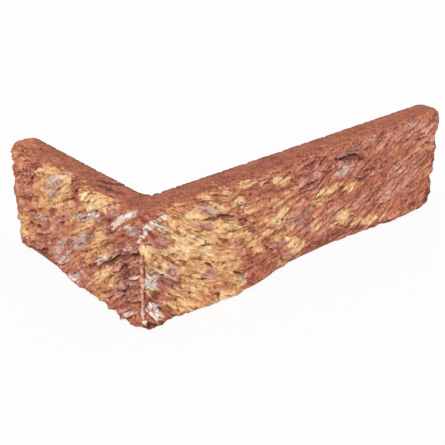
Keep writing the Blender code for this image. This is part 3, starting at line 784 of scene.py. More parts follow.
@dataclass
class ClaySlip:
    """The slip itself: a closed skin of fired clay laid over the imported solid."""

    face: ClayFace
    station: float = 0.72
    face_rows: int = 126
    upper_rows: int = 22
    lower_rows: int = 6
    back_rows: int = 12
    chips: tuple[float, ...] = (0.35, 1.0, 2.0)
    core: float = 8.5
    end_start: float = 13.0
    end_loops: int = 13
    end_ease: float = 0.7
    ease_passes: int = 9
    rough_grain: float = 2.6
    fine_grain: float = 0.9
    set_back: float = 0.12
    droop: float = 0.75
    name: str = "clay_skin"

    def __post_init__(self) -> None:
        """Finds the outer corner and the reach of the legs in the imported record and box."""
        self.corner = outer_corner()
        low, high = CAD_BOX
        self.low = np.array(low) / MM
        self.high = np.array(high) / MM
        self.long_reach = self.high[0] - self.corner.x
        self.short_reach = self.high[1] - self.corner.y
        self.spots = self._spots()
        self.across = np.array([spot.across for spot in self.spots])
        self.off_back = np.array([spot.depth < 1.0 for spot in self.spots])

    def _spots(self) -> list[Spot]:
        """Spaces the places round a cross-section.

        Returns:
            The places, up the face, over the upper bed, down the back and under the lower bed.
        """
        spots = []
        for k in range(self.face_rows):
            height = HEIGHT * (k + 0.5) / self.face_rows
            spots.append(Spot(0.0, height, height))
        heights = [HEIGHT * (k + 0.5) / self.back_rows for k in range(self.back_rows)]
        heights = sorted([*heights, *self.chips, *(HEIGHT - chip for chip in self.chips)])
        depths = self._depths(self.upper_rows)
        spots += [Spot(depth, HEIGHT, HEIGHT + depth * WALL) for depth in depths]
        spots += [Spot(1.0, height, HEIGHT + WALL) for height in reversed(heights)]
        depths = self._depths(self.lower_rows)
        spots += [Spot(depth, 0.0, -depth * WALL) for depth in reversed(depths)]
        return spots

    @staticmethod
    def _depths(rows: int) -> list[float]:
        """How deep a bed's rows lie in the wall, the last one just short of the back."""
        return [(k + 0.5) / rows for k in range(rows)] + [1.0 - 0.3 / WALL]

    def _leg(self, run: Vector, outward: Vector, reach: float, side: int) -> list[Cut]:
        """The loops of one leg, from past the corner to across its end.

        Args:
            run: The way the leg runs in plan.
            outward: The way its face looks.
            reach: Its length from the outer corner.
            side: 1 for the long leg and -1 for the short one.

        Returns:
            The loops, in order from the corner.
        """
        cuts = []
        start = WALL + INNER_FILLET
        last = reach - self.end_start
        count = round((last - start) / self.station)
        inside = outward * (WALL / 2.0)
        for k in range(1, count + 1):
            distance = start + (last - start) * k / count
            foot = self.corner + run * distance
            cuts.append(Cut(side * distance, foot - inside, foot, foot - inside * 2.0))
        middle = cuts[-1].middle
        count = round(self.end_start / self.station)
        for k in range(1, count + 1):
            distance = last + self.end_start * k / count
            foot = self.corner + run * distance
            cuts.append(Cut(side * distance, middle, foot, foot - inside * 2.0))
        foot = self.corner + run * reach
        for k in range(1, self.end_loops + 1):
            shrink = 1.0 - 0.95 * k / self.end_loops
            along = side * (reach + (1.0 - shrink) * WALL / 2.0)
            cuts.append(Cut(along, middle, foot, foot - inside * 2.0, shrink))
        return cuts

    def _turn(self) -> list[Cut]:
        """Fans loops round the outer corner.

        Returns:
            The loops, in order from the short leg to the long one.
        """
        reach = WALL + INNER_FILLET
        count = round(2.0 * reach / self.station)
        cuts = []
        for k in range(count + 1):
            along = reach * (2.0 * k / count - 1.0)
            if abs(along) < CORNER_ARC:
                angle = math.pi / 4.0 * (1.0 + along / CORNER_ARC)
                face = Vector((1.0 - math.cos(angle), 1.0 - math.sin(angle))) * CORNER_ARC
            else:
                face = Vector((max(along, 0.0), max(-along, 0.0)))
            angle = math.pi / 2.0 * k / count
            turned = Vector((math.cos(angle), math.sin(angle))) * INNER_FILLET
            back = Vector((reach, reach)) - turned
            face, back = self.corner + face, self.corner + back
            cuts.append(Cut(along, (face + back) / 2.0, face, back))
        return cuts

    def cuts(self) -> list[Cut]:
        """Joins the loops of both legs and the corner.

        Returns:
            Every loop, from across the short leg's end round to across the long one's.
        """
        short = self._leg(Vector((0, 1)), Vector((-1, 0)), self.short_reach, -1)
        long = self._leg(Vector((1, 0)), Vector((0, -1)), self.long_reach, 1)
        return short[::-1] + self._turn() + long

    def _lay(self, skin: CadSkin, cuts: list[Cut]) -> np.ndarray:
        """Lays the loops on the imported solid.

        Args:
            skin: The solid's surface.
            cuts: The loops.

        Returns:
            Points in millimetres, as loops by spots by 3.
        """
        points = np.empty((len(cuts), len(self.spots), 3))
        for row, cut in enumerate(cuts):
            aim = (cut.face + cut.back) / 2.0
            for column, spot in enumerate(self.spots):
                core = min(max(spot.height, self.core), HEIGHT - self.core)
                origin = Vector((cut.middle.x, cut.middle.y, core))
                plan = aim + (cut.face.lerp(cut.back, spot.depth) - aim) * cut.shrink
                level = core + (spot.height - core) * cut.shrink
                target = Vector((plan.x, plan.y, level))
                points[row, column] = skin.cast(origin * MM, target * MM) / MM
        return points

    def _ease(self, points: np.ndarray) -> np.ndarray:
        """Softens the solid's facets over the face, its edges and the ends.

        Args:
            points: The loops as they lie on the solid.

        Returns:
            The softened loops. Beds and backs stay where they were.
        """
        weight = smooth(self.across, -4.0, -1.5) * smooth(self.across, HEIGHT + 4.0, HEIGHT + 1.5)
        weight = np.repeat((weight * self.off_back)[None, :], len(points), 0)
        tail = self.end_loops + 4
        ends = np.zeros(len(points))
        ends[:tail] = ends[-tail:] = self.end_ease
        weight = np.maximum(weight, ends[:, None])[:, :, None]
        for _ in range(self.ease_passes):
            around = (np.roll(points, 1, 1) + np.roll(points, -1, 1)) / 4.0 + points / 2.0
            beside = around.copy()
            beside[1:-1] = around[1:-1] / 2.0 + (around[2:] + around[:-2]) / 4.0
            points = points + (beside - points) * weight
        return points

    @staticmethod
    def _normals(points: np.ndarray) -> np.ndarray:
        """Works out which way the skin looks.

        Args:
            points: The loops.

        Returns:
            The outward direction at each of their points.
        """
        along = np.gradient(points, axis=0)
        around = (np.roll(points, -1, 1) - np.roll(points, 1, 1)) / 2.0
        normals = np.cross(along, around)
        return normals / np.maximum(np.linalg.norm(normals, axis=2, keepdims=True), 1e-9)

    def _marked(self, points: np.ndarray, along: np.ndarray, across: np.ndarray) -> np.ndarray:
        """Presses the marks of mould and hand into the loops.

        Args:
            points: The softened loops.
            along: Each point's place along the sheet.
            across: Each point's place across it.

        Returns:
            The loops with their relief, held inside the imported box.
        """
        share = on_face(across) * self.off_back
        tail = self.end_loops + 2
        end = np.zeros(len(points))
        end[:tail] = end[-tail:] = 1.0
        end = np.convolve(end, np.ones(9) / 9.0, "same")[:, None]
        rough = self._rough(points, self.rough_grain, 4)
        fine = self._rough(points + 50.0, self.fine_grain, 2)
        relief = self.face.sheet.at(self.face.relief, along, across) * self.off_back * (1.0 - end)
        relief += end * (0.75 * rough + 0.25 * fine - 0.4)
        plain = (1.0 - share) * (1.0 - end)
        relief -= plain * np.abs(0.14 * rough + 0.14 * fine)
        relief -= plain * self._arris() * smooth(rough, -0.1, 0.7) * 0.8
        relief -= self.set_back * share
        moved = points + self._normals(points) * relief[:, :, None]
        droop = self.droop * relief * share * (1.0 - end)
        moved[:, :, 2] -= droop * smooth(across, 0.5, 4.0)
        return np.clip(moved, self.low + INSET, self.high - INSET)

    def _arris(self) -> np.ndarray:
        """Finds the edges between the back and the beds.

        Returns:
            1 at the spots on them, falling to 0 two millimetres away, as one row.
        """
        down = np.array([(1.0 - spot.depth) * WALL for spot in self.spots])
        up = np.array([min(spot.height, HEIGHT - spot.height) for spot in self.spots])
        return smooth(np.hypot(down, up), 2.2, 0.4)[None, :]

    @staticmethod
    def _rough(points: np.ndarray, size: float, octaves: int) -> np.ndarray:
        """Fractal noise in space at each point.

        Args:
            points: The points, in millimetres.
            size: Size of the largest grains.
            octaves: How many finer layers are added.

        Returns:
            Values of about -1 to 1.
        """
        flat = (points / size).reshape(-1, 3)
        values = [noise.fractal(Vector(point), 1.0, 2.0, octaves) for point in flat]
        return np.array(values).reshape(points.shape[:2])

    def _mesh(self, points: np.ndarray) -> bpy.types.Mesh:
        """Skins the loops and closes the two ends.

        Args:
            points: The finished loops, in millimetres.

        Returns:
            A closed mesh in metres, whose points are in the loops' order.
        """
        loops, spots = points.shape[:2]
        index = np.arange(loops * spots).reshape(loops, spots)
        after = np.roll(index, -1, 1)
        quads = np.stack((index[:-1], after[:-1], after[1:], index[1:]), -1).reshape(-1, 4)
        faces = quads[:, ::-1].tolist() + [index[0].tolist(), index[-1][::-1].tolist()]
        mesh = bpy.data.meshes.new(self.name)
        mesh.from_pydata((points.reshape(-1, 3) * MM).tolist(), [], faces)
        shape = bmesh.new()
        shape.from_mesh(mesh)
        caps = [face for face in shape.faces if len(face.verts) > 4]
        bmesh.ops.triangulate(shape, faces=caps)
        bmesh.ops.recalc_face_normals(shape, faces=shape.faces)
        shape.to_mesh(mesh)
        shape.free()
        mesh.shade_smooth()
        return mesh

    def build(self) -> bpy.types.Object:
        """Builds the clay's skin and stores its tones as attributes.

        Returns:
            The finished object, linked to the scene.
        """
        cuts = self.cuts()
        along = np.array([[cut.along] * len(self.spots) for cut in cuts])
        across = np.tile(self.across, (len(cuts), 1))
        points = self._ease(self._lay(CadSkin(NODE), cuts))
        mesh = self._mesh(self._marked(points, along, across))
        past = np.clip(np.abs(along) - np.where(along > 0, self.long_reach, self.short_reach), 0, None)
        laid = smooth(past, 3.0, 0.0) * self.off_back
        face = self.face
        fields = {tone.value: field for tone, field in face.tones.items()}
        fields |= {"cavity": face.cavity, "crumbly": face.crumbly, "face_side": face.side}
        for name, field in fields.items():
            self._store(mesh, name, face.sheet.at(field, along, across) * laid)
        self._store(mesh, "arris", np.repeat(self._arris(), len(cuts), 0))
        down = np.array([HEIGHT - spot.height if spot.depth == 1.0 else 0.0 for spot in self.spots])
        self._store(mesh, "lay_along", along * MM)
        self._store(mesh, "lay_across", (across + down) * MM)
        self._store(mesh, "drift_across", (across + down - Sheet.climb(along)) * MM)
        slip = bpy.data.objects.new(self.name, mesh)
        bpy.context.scene.collection.objects.link(slip)
        return slip

    @staticmethod
    def _store(mesh: bpy.types.Mesh, name: str, values: np.ndarray) -> None:
        """Keeps one number for each point of a mesh under a name."""
        attribute = mesh.attributes.new(name, "FLOAT", "POINT")
        attribute.data.foreach_set("value", values.astype(np.float32).ravel())


class Tree:
    """A tree of Blender's nodes, with short ways to add and join them."""

    def __init__(self, tree: bpy.types.NodeTree) -> None:
        """Takes a tree in hand."""
        self.tree = tree

    def add(self, kind: str, **settings: object) -> bpy.types.Node:
        """Adds a node.

        Args:
            kind: Blender's name for the kind of node.
            **settings: What is set on it.

        Returns:
            The node.
        """
        node = self.tree.nodes.new(kind)
        for name, value in settings.items():
            setattr(node, name, value)
        return node

    def link(self, source: bpy.types.NodeSocket, target: bpy.types.NodeSocket) -> None:
        """Joins an output to an input."""
        self.tree.links.new(source, target)

    def put(self, socket: bpy.types.NodeSocket, value: object) -> None:
        """Gives an input what it works on.

        Args:
            socket: The input.
            value: An output that is joined to it, or a constant that is written on it.
        """
        if isinstance(value, bpy.types.NodeSocket):
            self.link(value, socket)
        else:
            socket.default_value = value

    def math(self, operation: str, *values: object) -> bpy.types.NodeSocket:
        """Works a sum out.

        Args:
            operation: Blender's name for the sum.
            *values: One to three numbers, as outputs or constants.

        Returns:
            The result.
        """
        node = self.add("ShaderNodeMath", operation=operation)
        for socket, value in zip(node.inputs, values):
            self.put(socket, value)
        return node.outputs[0]


@dataclass(frozen=True)
class ClayCrumbs:
    """Crumbs of clay and grains of moulding sand that stick to the face, strewn over the skin by
    geometry nodes. Sizes are in metres, and grains are counted to the square metre."""

    grains: float = 30000.0
    crumbs: float = 600000.0
    smallest: float = 0.00022
    largest: float = 0.00042
    swell: float = 0.7
    seed: int = 5
    name: str = "clay_crumbs"

    def _tree(self, finish: bpy.types.Material) -> bpy.types.NodeTree:
        """Builds the tree that strews the crumbs.

        Args:
            finish: The material that they get.

        Returns:
            A tree whose inputs are named for what they set.
        """
        tree = bpy.data.node_groups.new("strewn_crumbs", "GeometryNodeTree")
        sockets = tree.interface
        for name, kind in (
            ("Skin", "NodeSocketGeometry"), ("Grains", "NodeSocketFloat"), ("Crumbs", "NodeSocketFloat"),
            ("Smallest", "NodeSocketFloat"), ("Largest", "NodeSocketFloat"),
            ("Swell", "NodeSocketFloat"), ("Seed", "NodeSocketInt"), ("Finish", "NodeSocketMaterial"),
        ):
            sockets.new_socket(name, in_out="INPUT", socket_type=kind)
        sockets.new_socket("Crumbs", in_out="OUTPUT", socket_type="NodeSocketGeometry")
        sockets.items_tree["Finish"].default_value = finish
        nodes = Tree(tree)

        def named(name: str) -> bpy.types.NodeSocket:
            """Reads what the skin has stored.

            Args:
                name: What the number is stored under.

            Returns:
                The number.
            """
            node = nodes.add("GeometryNodeInputNamedAttribute", data_type="FLOAT")
            node.inputs["Name"].default_value = name
            return node.outputs["Attribute"]

        given = nodes.add("NodeGroupInput").outputs
        strew = nodes.add("GeometryNodeDistributePointsOnFaces")
        often = nodes.math("MULTIPLY", named("face_side"), given["Grains"])
        often = nodes.math("MULTIPLY_ADD", named("crumbly"), given["Crumbs"], often)
        ball = nodes.add("GeometryNodeMeshIcoSphere")
        ball.inputs["Subdivisions"].default_value = 1
        ball.inputs["Radius"].default_value = 1.0
        size = nodes.add("FunctionNodeRandomValue", data_type="FLOAT_VECTOR")
        swell = nodes.math("MULTIPLY_ADD", named("crumbly"), given["Swell"], 1.0)
        turn = nodes.add("FunctionNodeRandomValue", data_type="FLOAT_VECTOR")
        turn.inputs["Max"].default_value = (math.tau, math.tau, math.tau)
        turn.inputs["Seed"].default_value = 1
        place = nodes.add("GeometryNodeInstanceOnPoints")
        tint = nodes.add("FunctionNodeRandomValue", data_type="FLOAT")
        tint.inputs["Seed"].default_value = 2
        keep = nodes.add("GeometryNodeStoreNamedAttribute", data_type="FLOAT", domain="INSTANCE")
        keep.inputs["Name"].default_value = "tint"
        realize = nodes.add("GeometryNodeRealizeInstances")
        dress = nodes.add("GeometryNodeSetMaterial")
        for source, target in (
            (given["Skin"], strew.inputs["Mesh"]), (often, strew.inputs["Density"]),
            (given["Seed"], strew.inputs["Seed"]),
            (nodes.math("MULTIPLY", given["Smallest"], swell), size.inputs["Min"]),
            (nodes.math("MULTIPLY", given["Largest"], swell), size.inputs["Max"]),
            (strew.outputs["Points"], place.inputs["Points"]),
            (ball.outputs["Mesh"], place.inputs["Instance"]),
            (turn.outputs["Value"], place.inputs["Rotation"]),
            (size.outputs["Value"], place.inputs["Scale"]),
            (place.outputs["Instances"], keep.inputs["Geometry"]),
            (tint.outputs[1], keep.inputs["Value"]),
            (keep.outputs["Geometry"], realize.inputs["Geometry"]),
            (realize.outputs["Geometry"], dress.inputs["Geometry"]),
            (given["Finish"], dress.inputs["Material"]),
            (dress.outputs["Geometry"], nodes.add("NodeGroupOutput").inputs["Crumbs"]),
        ):
            nodes.link(source, target)
        return tree

    def build(self, skin: bpy.types.Object, finish: bpy.types.Material) -> bpy.types.Object:
        """Strews the crumbs over a skin.

        Args:
            skin: The slip's skin, with its numbers stored on it.
            finish: The material that the crumbs share with it.

        Returns:
            The crumbs as one plain mesh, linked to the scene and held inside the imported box.
        """
        tree = self._tree(finish)
        crumbs = bpy.data.objects.new(self.name, skin.data.copy())
        bpy.context.scene.collection.objects.link(crumbs)
        strewn = crumbs.modifiers.new("strewn", "NODES")
        strewn.node_group = tree
        values = {
            "Grains": self.grains, "Crumbs": self.crumbs, "Smallest": self.smallest,
            "Largest": self.largest, "Swell": self.swell, "Seed": self.seed, "Finish": finish,
        }
        for socket in tree.interface.items_tree:
            if socket.in_out == "INPUT" and socket.name in values:
                strewn[socket.identifier] = values[socket.name]
        graph = bpy.context.evaluated_depsgraph_get()
        mesh = bpy.data.meshes.new_from_object(crumbs.evaluated_get(graph))
        crumbs.modifiers.clear()
        crumbs.data = mesh
        places = np.empty(len(mesh.vertices) * 3, np.float32)
        mesh.vertices.foreach_get("co", places)
        low, high = (np.array(corner) for corner in CAD_BOX)
        held = np.clip(places.reshape(-1, 3), low + INSET * MM, high - INSET * MM)
        mesh.vertices.foreach_set("co", held.astype(np.float32).ravel())
        mesh.update()
        return crumbs


class Nodes(Tree):
    """The tree of a material, with short ways to make its colours and patterns."""

    def __init__(self, name: str) -> None:
        """Starts an empty material with its output and one surface shader.

        Args:
            name: What the material is called.
        """
        self.material = bpy.data.materials.new(name)
        self.material.use_nodes = True
        super().__init__(self.material.node_tree)
        self.surface = self.tree.nodes["Principled BSDF"]

    def attribute(self, name: str) -> bpy.types.NodeSocket:
        """The number stored on the mesh under a name."""
        return self.add("ShaderNodeAttribute", attribute_name=name).outputs["Fac"]

    def mix(self, share: object, one: object, other: object, blend: str = "MIX") -> bpy.types.NodeSocket:
        """Two colours mixed by a share.

        Args:
            share: How much of the other, from 0 to 1.
            one: The colour at 0.
            other: The colour at 1.
            blend: Blender's name for the way they mix.

        Returns:
            The mixed colour.
        """
        node = self.add("ShaderNodeMix", data_type="RGBA", blend_type=blend)
        self.put(node.inputs[0], share)
        self.put(node.inputs[6], one)
        self.put(node.inputs[7], other)
        return node.outputs[2]

    def ease(
        self, value: object, low: float, high: float, start: float = 0.0, end: float = 1.0,
    ) -> bpy.types.NodeSocket:
        """Maps a number smoothly from one range to another.

        Args:
            value: The number.
            low: Where the result leaves its start.
            high: Where it reaches its end.
            start: The result up to low.
            end: The result from high on.

        Returns:
            The mapped number.
        """
        node = self.add("ShaderNodeMapRange", interpolation_type="SMOOTHSTEP")
        for socket, given in zip(node.inputs, (value, low, high, start, end)):
            self.put(socket, given)
        return node.outputs[0]

    def noise(
        self, size: float, detail: float = 3.0, seed: float = 0.0, place: object = None,
    ) -> bpy.types.NodeSocket:
        """Noise with grains of a size in metres.

        Args:
            size: Size of the largest grains.
            detail: How many finer layers are added.
            seed: Which of its patterns to use.
            place: Where it is read; the object's own space if left out.

        Returns:
            A number that stays near one half.
        """
        if place is None:
            place = self.add("ShaderNodeTexCoord").outputs["Object"]
        node = self.add("ShaderNodeTexNoise", noise_dimensions="4D")
        self.link(place, node.inputs["Vector"])
        node.inputs["W"].default_value = seed * 7.3
        node.inputs["Scale"].default_value = 1.0 / size
        node.inputs["Detail"].default_value = detail
        node.inputs["Roughness"].default_value = 0.6
        return node.outputs["Fac"]

    def laid(self, stretch: float, across: str = "drift_across") -> bpy.types.NodeSocket:
        """A place on the unrolled sheet, shortened along it so that noise read there is drawn out.

        Args:
            stretch: How many times longer than high the noise becomes.
            across: The stored distance that it is read across; it follows the drag if left out.

        Returns:
            The place.
        """
        node = self.add("ShaderNodeCombineXYZ")
        self.link(self.math("DIVIDE", self.attribute("lay_along"), stretch), node.inputs["X"])
        self.link(self.attribute(across), node.inputs["Y"])
        return node.outputs[0]

    def between(self, share: object, one: object, other: object) -> bpy.types.NodeSocket:
        """Mixes two numbers.

        Args:
            share: How much of the other, from 0 to 1.
            one: The number at 0.
            other: The number at 1.

        Returns:
            The mixed number.
        """
        node = self.add("ShaderNodeMix", data_type="FLOAT")
        self.put(node.inputs[0], share)
        self.put(node.inputs[2], one)
        self.put(node.inputs[3], other)
        return node.outputs[0]

    def bump(self, height: object, depth: float, normal: object = None) -> bpy.types.NodeSocket:
        """Disturbs the way the surface looks.

        Args:
            height: How high each place seems to stand, from 0 to 1.
            depth: What 1 stands for, in metres.
            normal: A direction disturbed before, which this adds to.

        Returns:
            The disturbed direction.
        """
        node = self.add("ShaderNodeBump")
        self.put(node.inputs["Height"], height)
        node.inputs["Distance"].default_value = depth
        if normal is not None:
            self.link(normal, node.inputs["Normal"])
        return node.outputs["Normal"]


Colour = tuple[float, float, float, float]


@dataclass(frozen=True)
class Shade:
    """How one tone looks: its darker and lighter colour, the densities at which it sets in and is
    full, how much of the clay beneath it then covers, and whether it lies on in wisps."""

    darker: Colour
    lighter: Colour
    fade: tuple[float, float] = (2.12, 2.48)
    cover: float = 1.0
    wispy: bool = False


@dataclass(frozen=True)
class FiredClay:
    """The finish of the slip: matt red clay with patches of other tones dragged through it."""

    # It also paints shade into hollows and along the back's edges, and highlights onto ridges.
    brick: tuple[Colour, Colour] = ((0.240, 0.058, 0.035, 1.0), (0.610, 0.205, 0.132, 1.0))
    rust: tuple[Colour, Colour] = ((0.310, 0.083, 0.037, 1.0), (0.650, 0.255, 0.130, 1.0))
    bed: tuple[Colour, Colour] = ((0.200, 0.048, 0.030, 1.0), (0.530, 0.175, 0.110, 1.0))
    bed_pale: Colour = (0.600, 0.240, 0.165, 1.0)
    # Painted shade, for hollows, creases and the edges of the back.
    deep: Colour = (0.085, 0.020, 0.012, 1.0)
    # Pale sand and crumbs, and also painted highlight on the ridges.
    pale_grit_and_highlight: Colour = (0.930, 0.600, 0.460, 1.0)
    crack: Colour = (0.300, 0.150, 0.110, 1.0)
    roughness: tuple[float, float] = (0.84, 0.97)

    def shades(self) -> dict[Tone, Shade]:
        """Sets how every tone looks.

        Returns:
            The look of each tone, in the order in which they lie over one another.
        """
        return {
            Tone.SALMON: Shade((0.360, 0.110, 0.070, 1.0), (0.760, 0.360, 0.260, 1.0)),
            Tone.OCHRE: Shade((0.470, 0.175, 0.065, 1.0), (0.980, 0.610, 0.290, 1.0), (2.02, 2.44)),
            Tone.CREAM: Shade((0.700, 0.360, 0.145, 1.0), (1.000, 0.780, 0.450, 1.0), (2.10, 2.48), 0.9),
            Tone.ORANGE: Shade((0.380, 0.115, 0.055, 1.0), (0.730, 0.300, 0.150, 1.0), (2.06, 2.54), 0.85),
            Tone.MAUVE: Shade((0.300, 0.095, 0.068, 1.0), (0.660, 0.320, 0.260, 1.0), (2.06, 2.54), 0.9),
            Tone.BRICK: Shade(*self.brick, (2.12, 2.44)),
            Tone.GREY: Shade(
                (0.360, 0.205, 0.160, 1.0), (0.780, 0.620, 0.560, 1.0), (2.00, 2.40), 0.85, wispy=True,
            ),
            Tone.LIME: Shade(
                (0.640, 0.430, 0.330, 1.0), (1.000, 0.940, 0.870, 1.0), (1.95, 2.28), wispy=True,
            ),
            # Painted shade for pits, creases, cracks and the turned-under foot.
            Tone.DARK: Shade((0.070, 0.018, 0.012, 1.0), (0.260, 0.080, 0.050, 1.0), (2.08, 2.44), 0.9),
        }

    def _toned(
        self, nodes: Nodes, colour: bpy.types.NodeSocket, level: bpy.types.NodeSocket,
        speck: bpy.types.NodeSocket,
    ) -> bpy.types.NodeSocket:
        """Lays the patches of every tone over the clay.

        Args:
            nodes: The material's tree.
            colour: The clay beneath.
            level: Which shade of a tone shows, from its darker to its lighter one.
            speck: The fine noise that breaks the edges up.

        Returns:
            The colour with its patches.
        """
        wisps = nodes.ease(nodes.noise(0.0015, 3.0, 60.0, nodes.laid(2.5)), 0.36, 0.50)
        for seed, (tone, shade) in enumerate(self.shades().items(), 4):
            torn = nodes.noise(0.0034, 6.0, seed, nodes.laid(3.0))
            share = nodes.math("MULTIPLY_ADD", torn, 3.0, nodes.attribute(tone.value))
            share = nodes.math("MULTIPLY_ADD", speck, 0.6, share)
            share = nodes.ease(share, *shade.fade, 0.0, shade.cover)
            near = nodes.ease(nodes.attribute(tone.value), 0.05, 0.30)
            share = nodes.math("MULTIPLY", share, near)
            if shade.wispy:
                share = nodes.math("MULTIPLY", share, wisps)
            colour = nodes.mix(share, colour, nodes.mix(level, shade.darker, shade.lighter))
        return colour

    def material(self) -> bpy.types.Material:
        """Builds the material.

        Returns:
            A material whose patches follow the numbers stored on the mesh.
        """
        nodes = Nodes("fired_clay")
        face_side = nodes.attribute("face_side")
        speck = nodes.noise(0.0016, 4.0, 1.0)
        streak = nodes.noise(0.0014, 4.0, 2.0, nodes.laid(3.5))
        band = nodes.noise(0.0026, 3.0, 40.0, nodes.laid(6.0))
        score = nodes.noise(0.0022, 4.0, 50.0, nodes.laid(8.0, "lay_across"))
        bed_grain = nodes.between(0.22, nodes.between(0.5, speck, nodes.noise(0.0010, 3.0, 52.0)), score)
        face_grain = nodes.between(0.30, nodes.between(0.6, speck, streak), band)
        grain = nodes.between(face_side, bed_grain, face_grain)
        level = nodes.ease(grain, 0.40, 0.60)
        rusty = nodes.ease(nodes.noise(0.009, 4.0, 3.0), 0.42, 0.62)
        cloud = nodes.noise(0.005, 4.0, 51.0, nodes.laid(3.0, "lay_across"))
        pale = nodes.ease(cloud, 0.52, 0.68, 0.0, 0.5)
        colour = nodes.mix(pale, nodes.mix(level, *self.bed), self.bed_pale)
        colour = nodes.mix(face_side, colour, nodes.mix(level, *self.brick))
        rusty = nodes.math("MULTIPLY", rusty, nodes.ease(face_side, 0.0, 1.0, 0.45, 1.0))
        colour = nodes.mix(rusty, colour, nodes.mix(level, *self.rust))
        colour = self._toned(nodes, colour, level, speck)
        line = nodes.noise(0.0046, 2.0, 41.0, nodes.laid(4.5))
        gap = nodes.math("ABSOLUTE", nodes.math("SUBTRACT", line, 0.5))
        crack = nodes.math("MULTIPLY", nodes.ease(gap, 0.020, 0.003), face_side)
        crack = nodes.math("MULTIPLY", crack, nodes.ease(nodes.noise(0.008, 2.0, 42.0), 0.46, 0.58))
        sandy = nodes.ease(nodes.attribute(Tone.OCHRE.value), 0.4, 0.9, 0.7, 0.35)
        colour = nodes.mix(nodes.math("MULTIPLY", crack, sandy), colour, self.crack, "MULTIPLY")
        cavity = nodes.math("MULTIPLY_ADD", grain, -2.6, nodes.attribute("cavity"))
        cavity = nodes.math("ADD", cavity, 1.3)
        # Painted shade in the hollows, from the stored cavity and the fine grain.
        colour = nodes.mix(nodes.ease(cavity, 0.15, 0.95, 0.0, 0.85), colour, self.deep)
        # Painted highlight on the ridges, where the cavity falls below 0.
        colour = nodes.mix(nodes.ease(cavity, -0.35, -1.1, 0.0, 0.44), colour, self.pale_grit_and_highlight)
        # Pale crumbs and sand specks, the clay's own colour.
        tint = nodes.ease(nodes.attribute("tint"), 0.6, 1.0, 0.0, 0.4)
        grit = nodes.ease(nodes.noise(0.0007, 1.0, 53.0), 0.64, 0.74, 0.0, 0.5)
        colour = nodes.mix(nodes.math("MAXIMUM", tint, grit), colour, self.pale_grit_and_highlight)
        # Painted shade along the edges between the back and the beds.
        edge = nodes.math("MULTIPLY", nodes.attribute("arris"), 0.45)
        colour = nodes.mix(edge, colour, self.deep)
        nodes.link(colour, nodes.surface.inputs["Base Color"])
        nodes.link(nodes.ease(level, 0.0, 1.0, *self.roughness), nodes.surface.inputs["Roughness"])
        nodes.surface.inputs["Specular IOR Level"].default_value = 0.25
        bump = nodes.bump(nodes.math("MULTIPLY_ADD", crack, -0.25, grain), 0.0011)
        bump = nodes.bump(nodes.noise(0.0004, 2.0, 30.0), 0.00012, bump)
        nodes.link(bump, nodes.surface.inputs["Normal"])
        return nodes.material


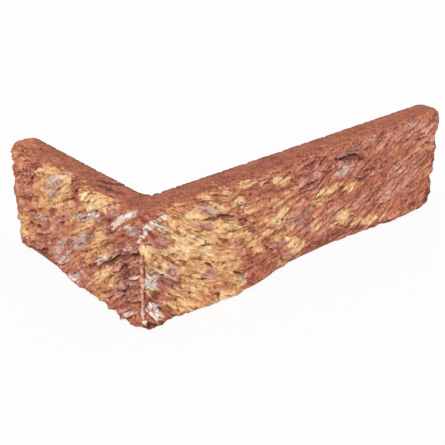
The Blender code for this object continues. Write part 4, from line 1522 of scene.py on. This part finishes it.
@dataclass(frozen=True)
class Studio:
    """Floor, soft light and the camera at the photograph's angle.

    The camera aims at a target given in millimetres from the foot of the outer corner.
    """

    azimuth: float = -42.667
    elevation: float = 26.883
    roll: float = 1.227
    distance: float = 0.447165
    lens: float = 66.37
    target: tuple[float, float, float] = (70.104, 19.949, 32.0)
    floor_half: float = 4.0
    floor_colour: Colour = (0.86, 0.86, 0.86, 1.0)
    floor_light: float = 0.88
    sky: float = 0.46
    sun: float = 2.3
    sun_azimuth: float = -46.0
    sun_elevation: float = 46.0
    sun_spread: float = 14.0

    @staticmethod
    def _towards(azimuth: float, elevation: float) -> Vector:
        """Finds the way from the slip to a place round it.

        Args:
            azimuth: How far round the place is, in degrees.
            elevation: How far up it is, in degrees.

        Returns:
            The direction towards the place, of length 1.
        """
        turn, rise = math.radians(azimuth), math.radians(elevation)
        return Vector((
            math.sin(turn) * math.cos(rise), -math.cos(turn) * math.cos(rise), math.sin(rise)
        ))

    def camera(self) -> bpy.types.Object:
        """Sets the camera up.

        Returns:
            The camera, made the scene's own.
        """
        back = self._towards(self.azimuth, self.elevation)
        right = (-back).cross(Vector((0, 0, 1))).normalized()
        up = right.cross(-back)
        turn = math.radians(self.roll)
        rolled = right * math.cos(turn) + up * math.sin(turn)
        upright = up * math.cos(turn) - right * math.sin(turn)
        data = bpy.data.cameras.new("camera")
        data.lens = self.lens
        data.clip_start = 0.01
        data.clip_end = 50.0
        camera = bpy.data.objects.new("camera", data)
        axes = Matrix((rolled, upright, back)).transposed().to_4x4()
        target = (outer_corner().to_3d() + Vector(self.target)) * MM
        camera.matrix_world = Matrix.Translation(target + back * self.distance) @ axes
        bpy.context.scene.collection.objects.link(camera)
        bpy.context.scene.camera = camera
        return camera

    def light(self) -> None:
        """Adds one soft sun and a pale sky."""
        data = bpy.data.lights.new("sun", "SUN")
        data.energy = self.sun
        data.angle = math.radians(self.sun_spread)
        sun = bpy.data.objects.new("sun", data)
        aim = self._towards(self.sun_azimuth, self.sun_elevation)
        sun.rotation_euler = aim.to_track_quat("Z", "Y").to_euler()
        bpy.context.scene.collection.objects.link(sun)
        world = bpy.data.worlds.new("sky")
        world.use_nodes = True
        bpy.context.scene.world = world
        nodes = Tree(world.node_tree)
        background = nodes.tree.nodes["Background"]
        background.inputs["Color"].default_value = (1.0, 1.0, 1.0, 1.0)
        level = nodes.add("ShaderNodeMapRange")
        level.inputs["To Min"].default_value = self.sky
        level.inputs["To Max"].default_value = 1.0
        nodes.link(self._seen(nodes), level.inputs["Value"])
        nodes.link(level.outputs[0], background.inputs["Strength"])

    @staticmethod
    def _seen(nodes: Tree) -> bpy.types.NodeSocket:
        """Tells the rays that show the surroundings themselves from those that light things.

        Args:
            nodes: The tree that asks.

        Returns:
            1 for a ray that shows them, and 0 for one that lights things.
        """
        path = nodes.add("ShaderNodeLightPath").outputs
        seen = path["Is Camera Ray"]
        for name in ("Is Glossy Ray", "Is Transmission Ray"):
            seen = nodes.math("MAXIMUM", seen, path[name])
        return seen

    def floor(self) -> bpy.types.Object:
        """Lays a pale floor that shows as white and keeps the slip's shadow.

        Returns:
            The floor.
        """
        half = self.floor_half
        corners = [(-half, -half, 0), (half, -half, 0), (half, half, 0), (-half, half, 0)]
        mesh = bpy.data.meshes.new("floor")
        mesh.from_pydata(corners, [], [(0, 1, 2, 3)])
        floor = bpy.data.objects.new("floor", mesh)
        bpy.context.scene.collection.objects.link(floor)
        nodes = Nodes("pale_floor")
        nodes.surface.inputs["Base Color"].default_value = self.floor_colour
        nodes.surface.inputs["Roughness"].default_value = 1.0
        nodes.surface.inputs["Specular IOR Level"].default_value = 0.0
        glow = nodes.add("ShaderNodeEmission")
        mixed = nodes.add("ShaderNodeMixShader")
        nodes.link(nodes.math("MULTIPLY", self._seen(nodes), self.floor_light), mixed.inputs[0])
        nodes.link(nodes.surface.outputs[0], mixed.inputs[1])
        nodes.link(glow.outputs[0], mixed.inputs[2])
        nodes.link(mixed.outputs[0], nodes.tree.nodes["Material Output"].inputs["Surface"])
        mesh.materials.append(nodes.material)
        return floor

    def build(self) -> None:
        """Builds the whole studio."""
        self.camera()
        self.light()
        self.floor()
        bpy.context.scene.view_settings.view_transform = "Standard"


def main() -> None:
    """Builds the studio and the slip, and reports each piece."""
    logging.basicConfig(level=logging.INFO, format="%(name)s: %(message)s")
    Studio().build()
    log.info("studio ready")
    clay = FiredClay().material()
    slip = ClaySlip(ClayFace(Sheet())).build()
    slip.data.materials.append(clay)
    crumbs = ClayCrumbs().build(slip, clay)
    for piece in (slip, crumbs):
        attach(piece, BODY)
        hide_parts(NODE)
        log.info("%s: %d faces", piece.name, len(piece.data.polygons))


if __name__ == "__main__":
    main()
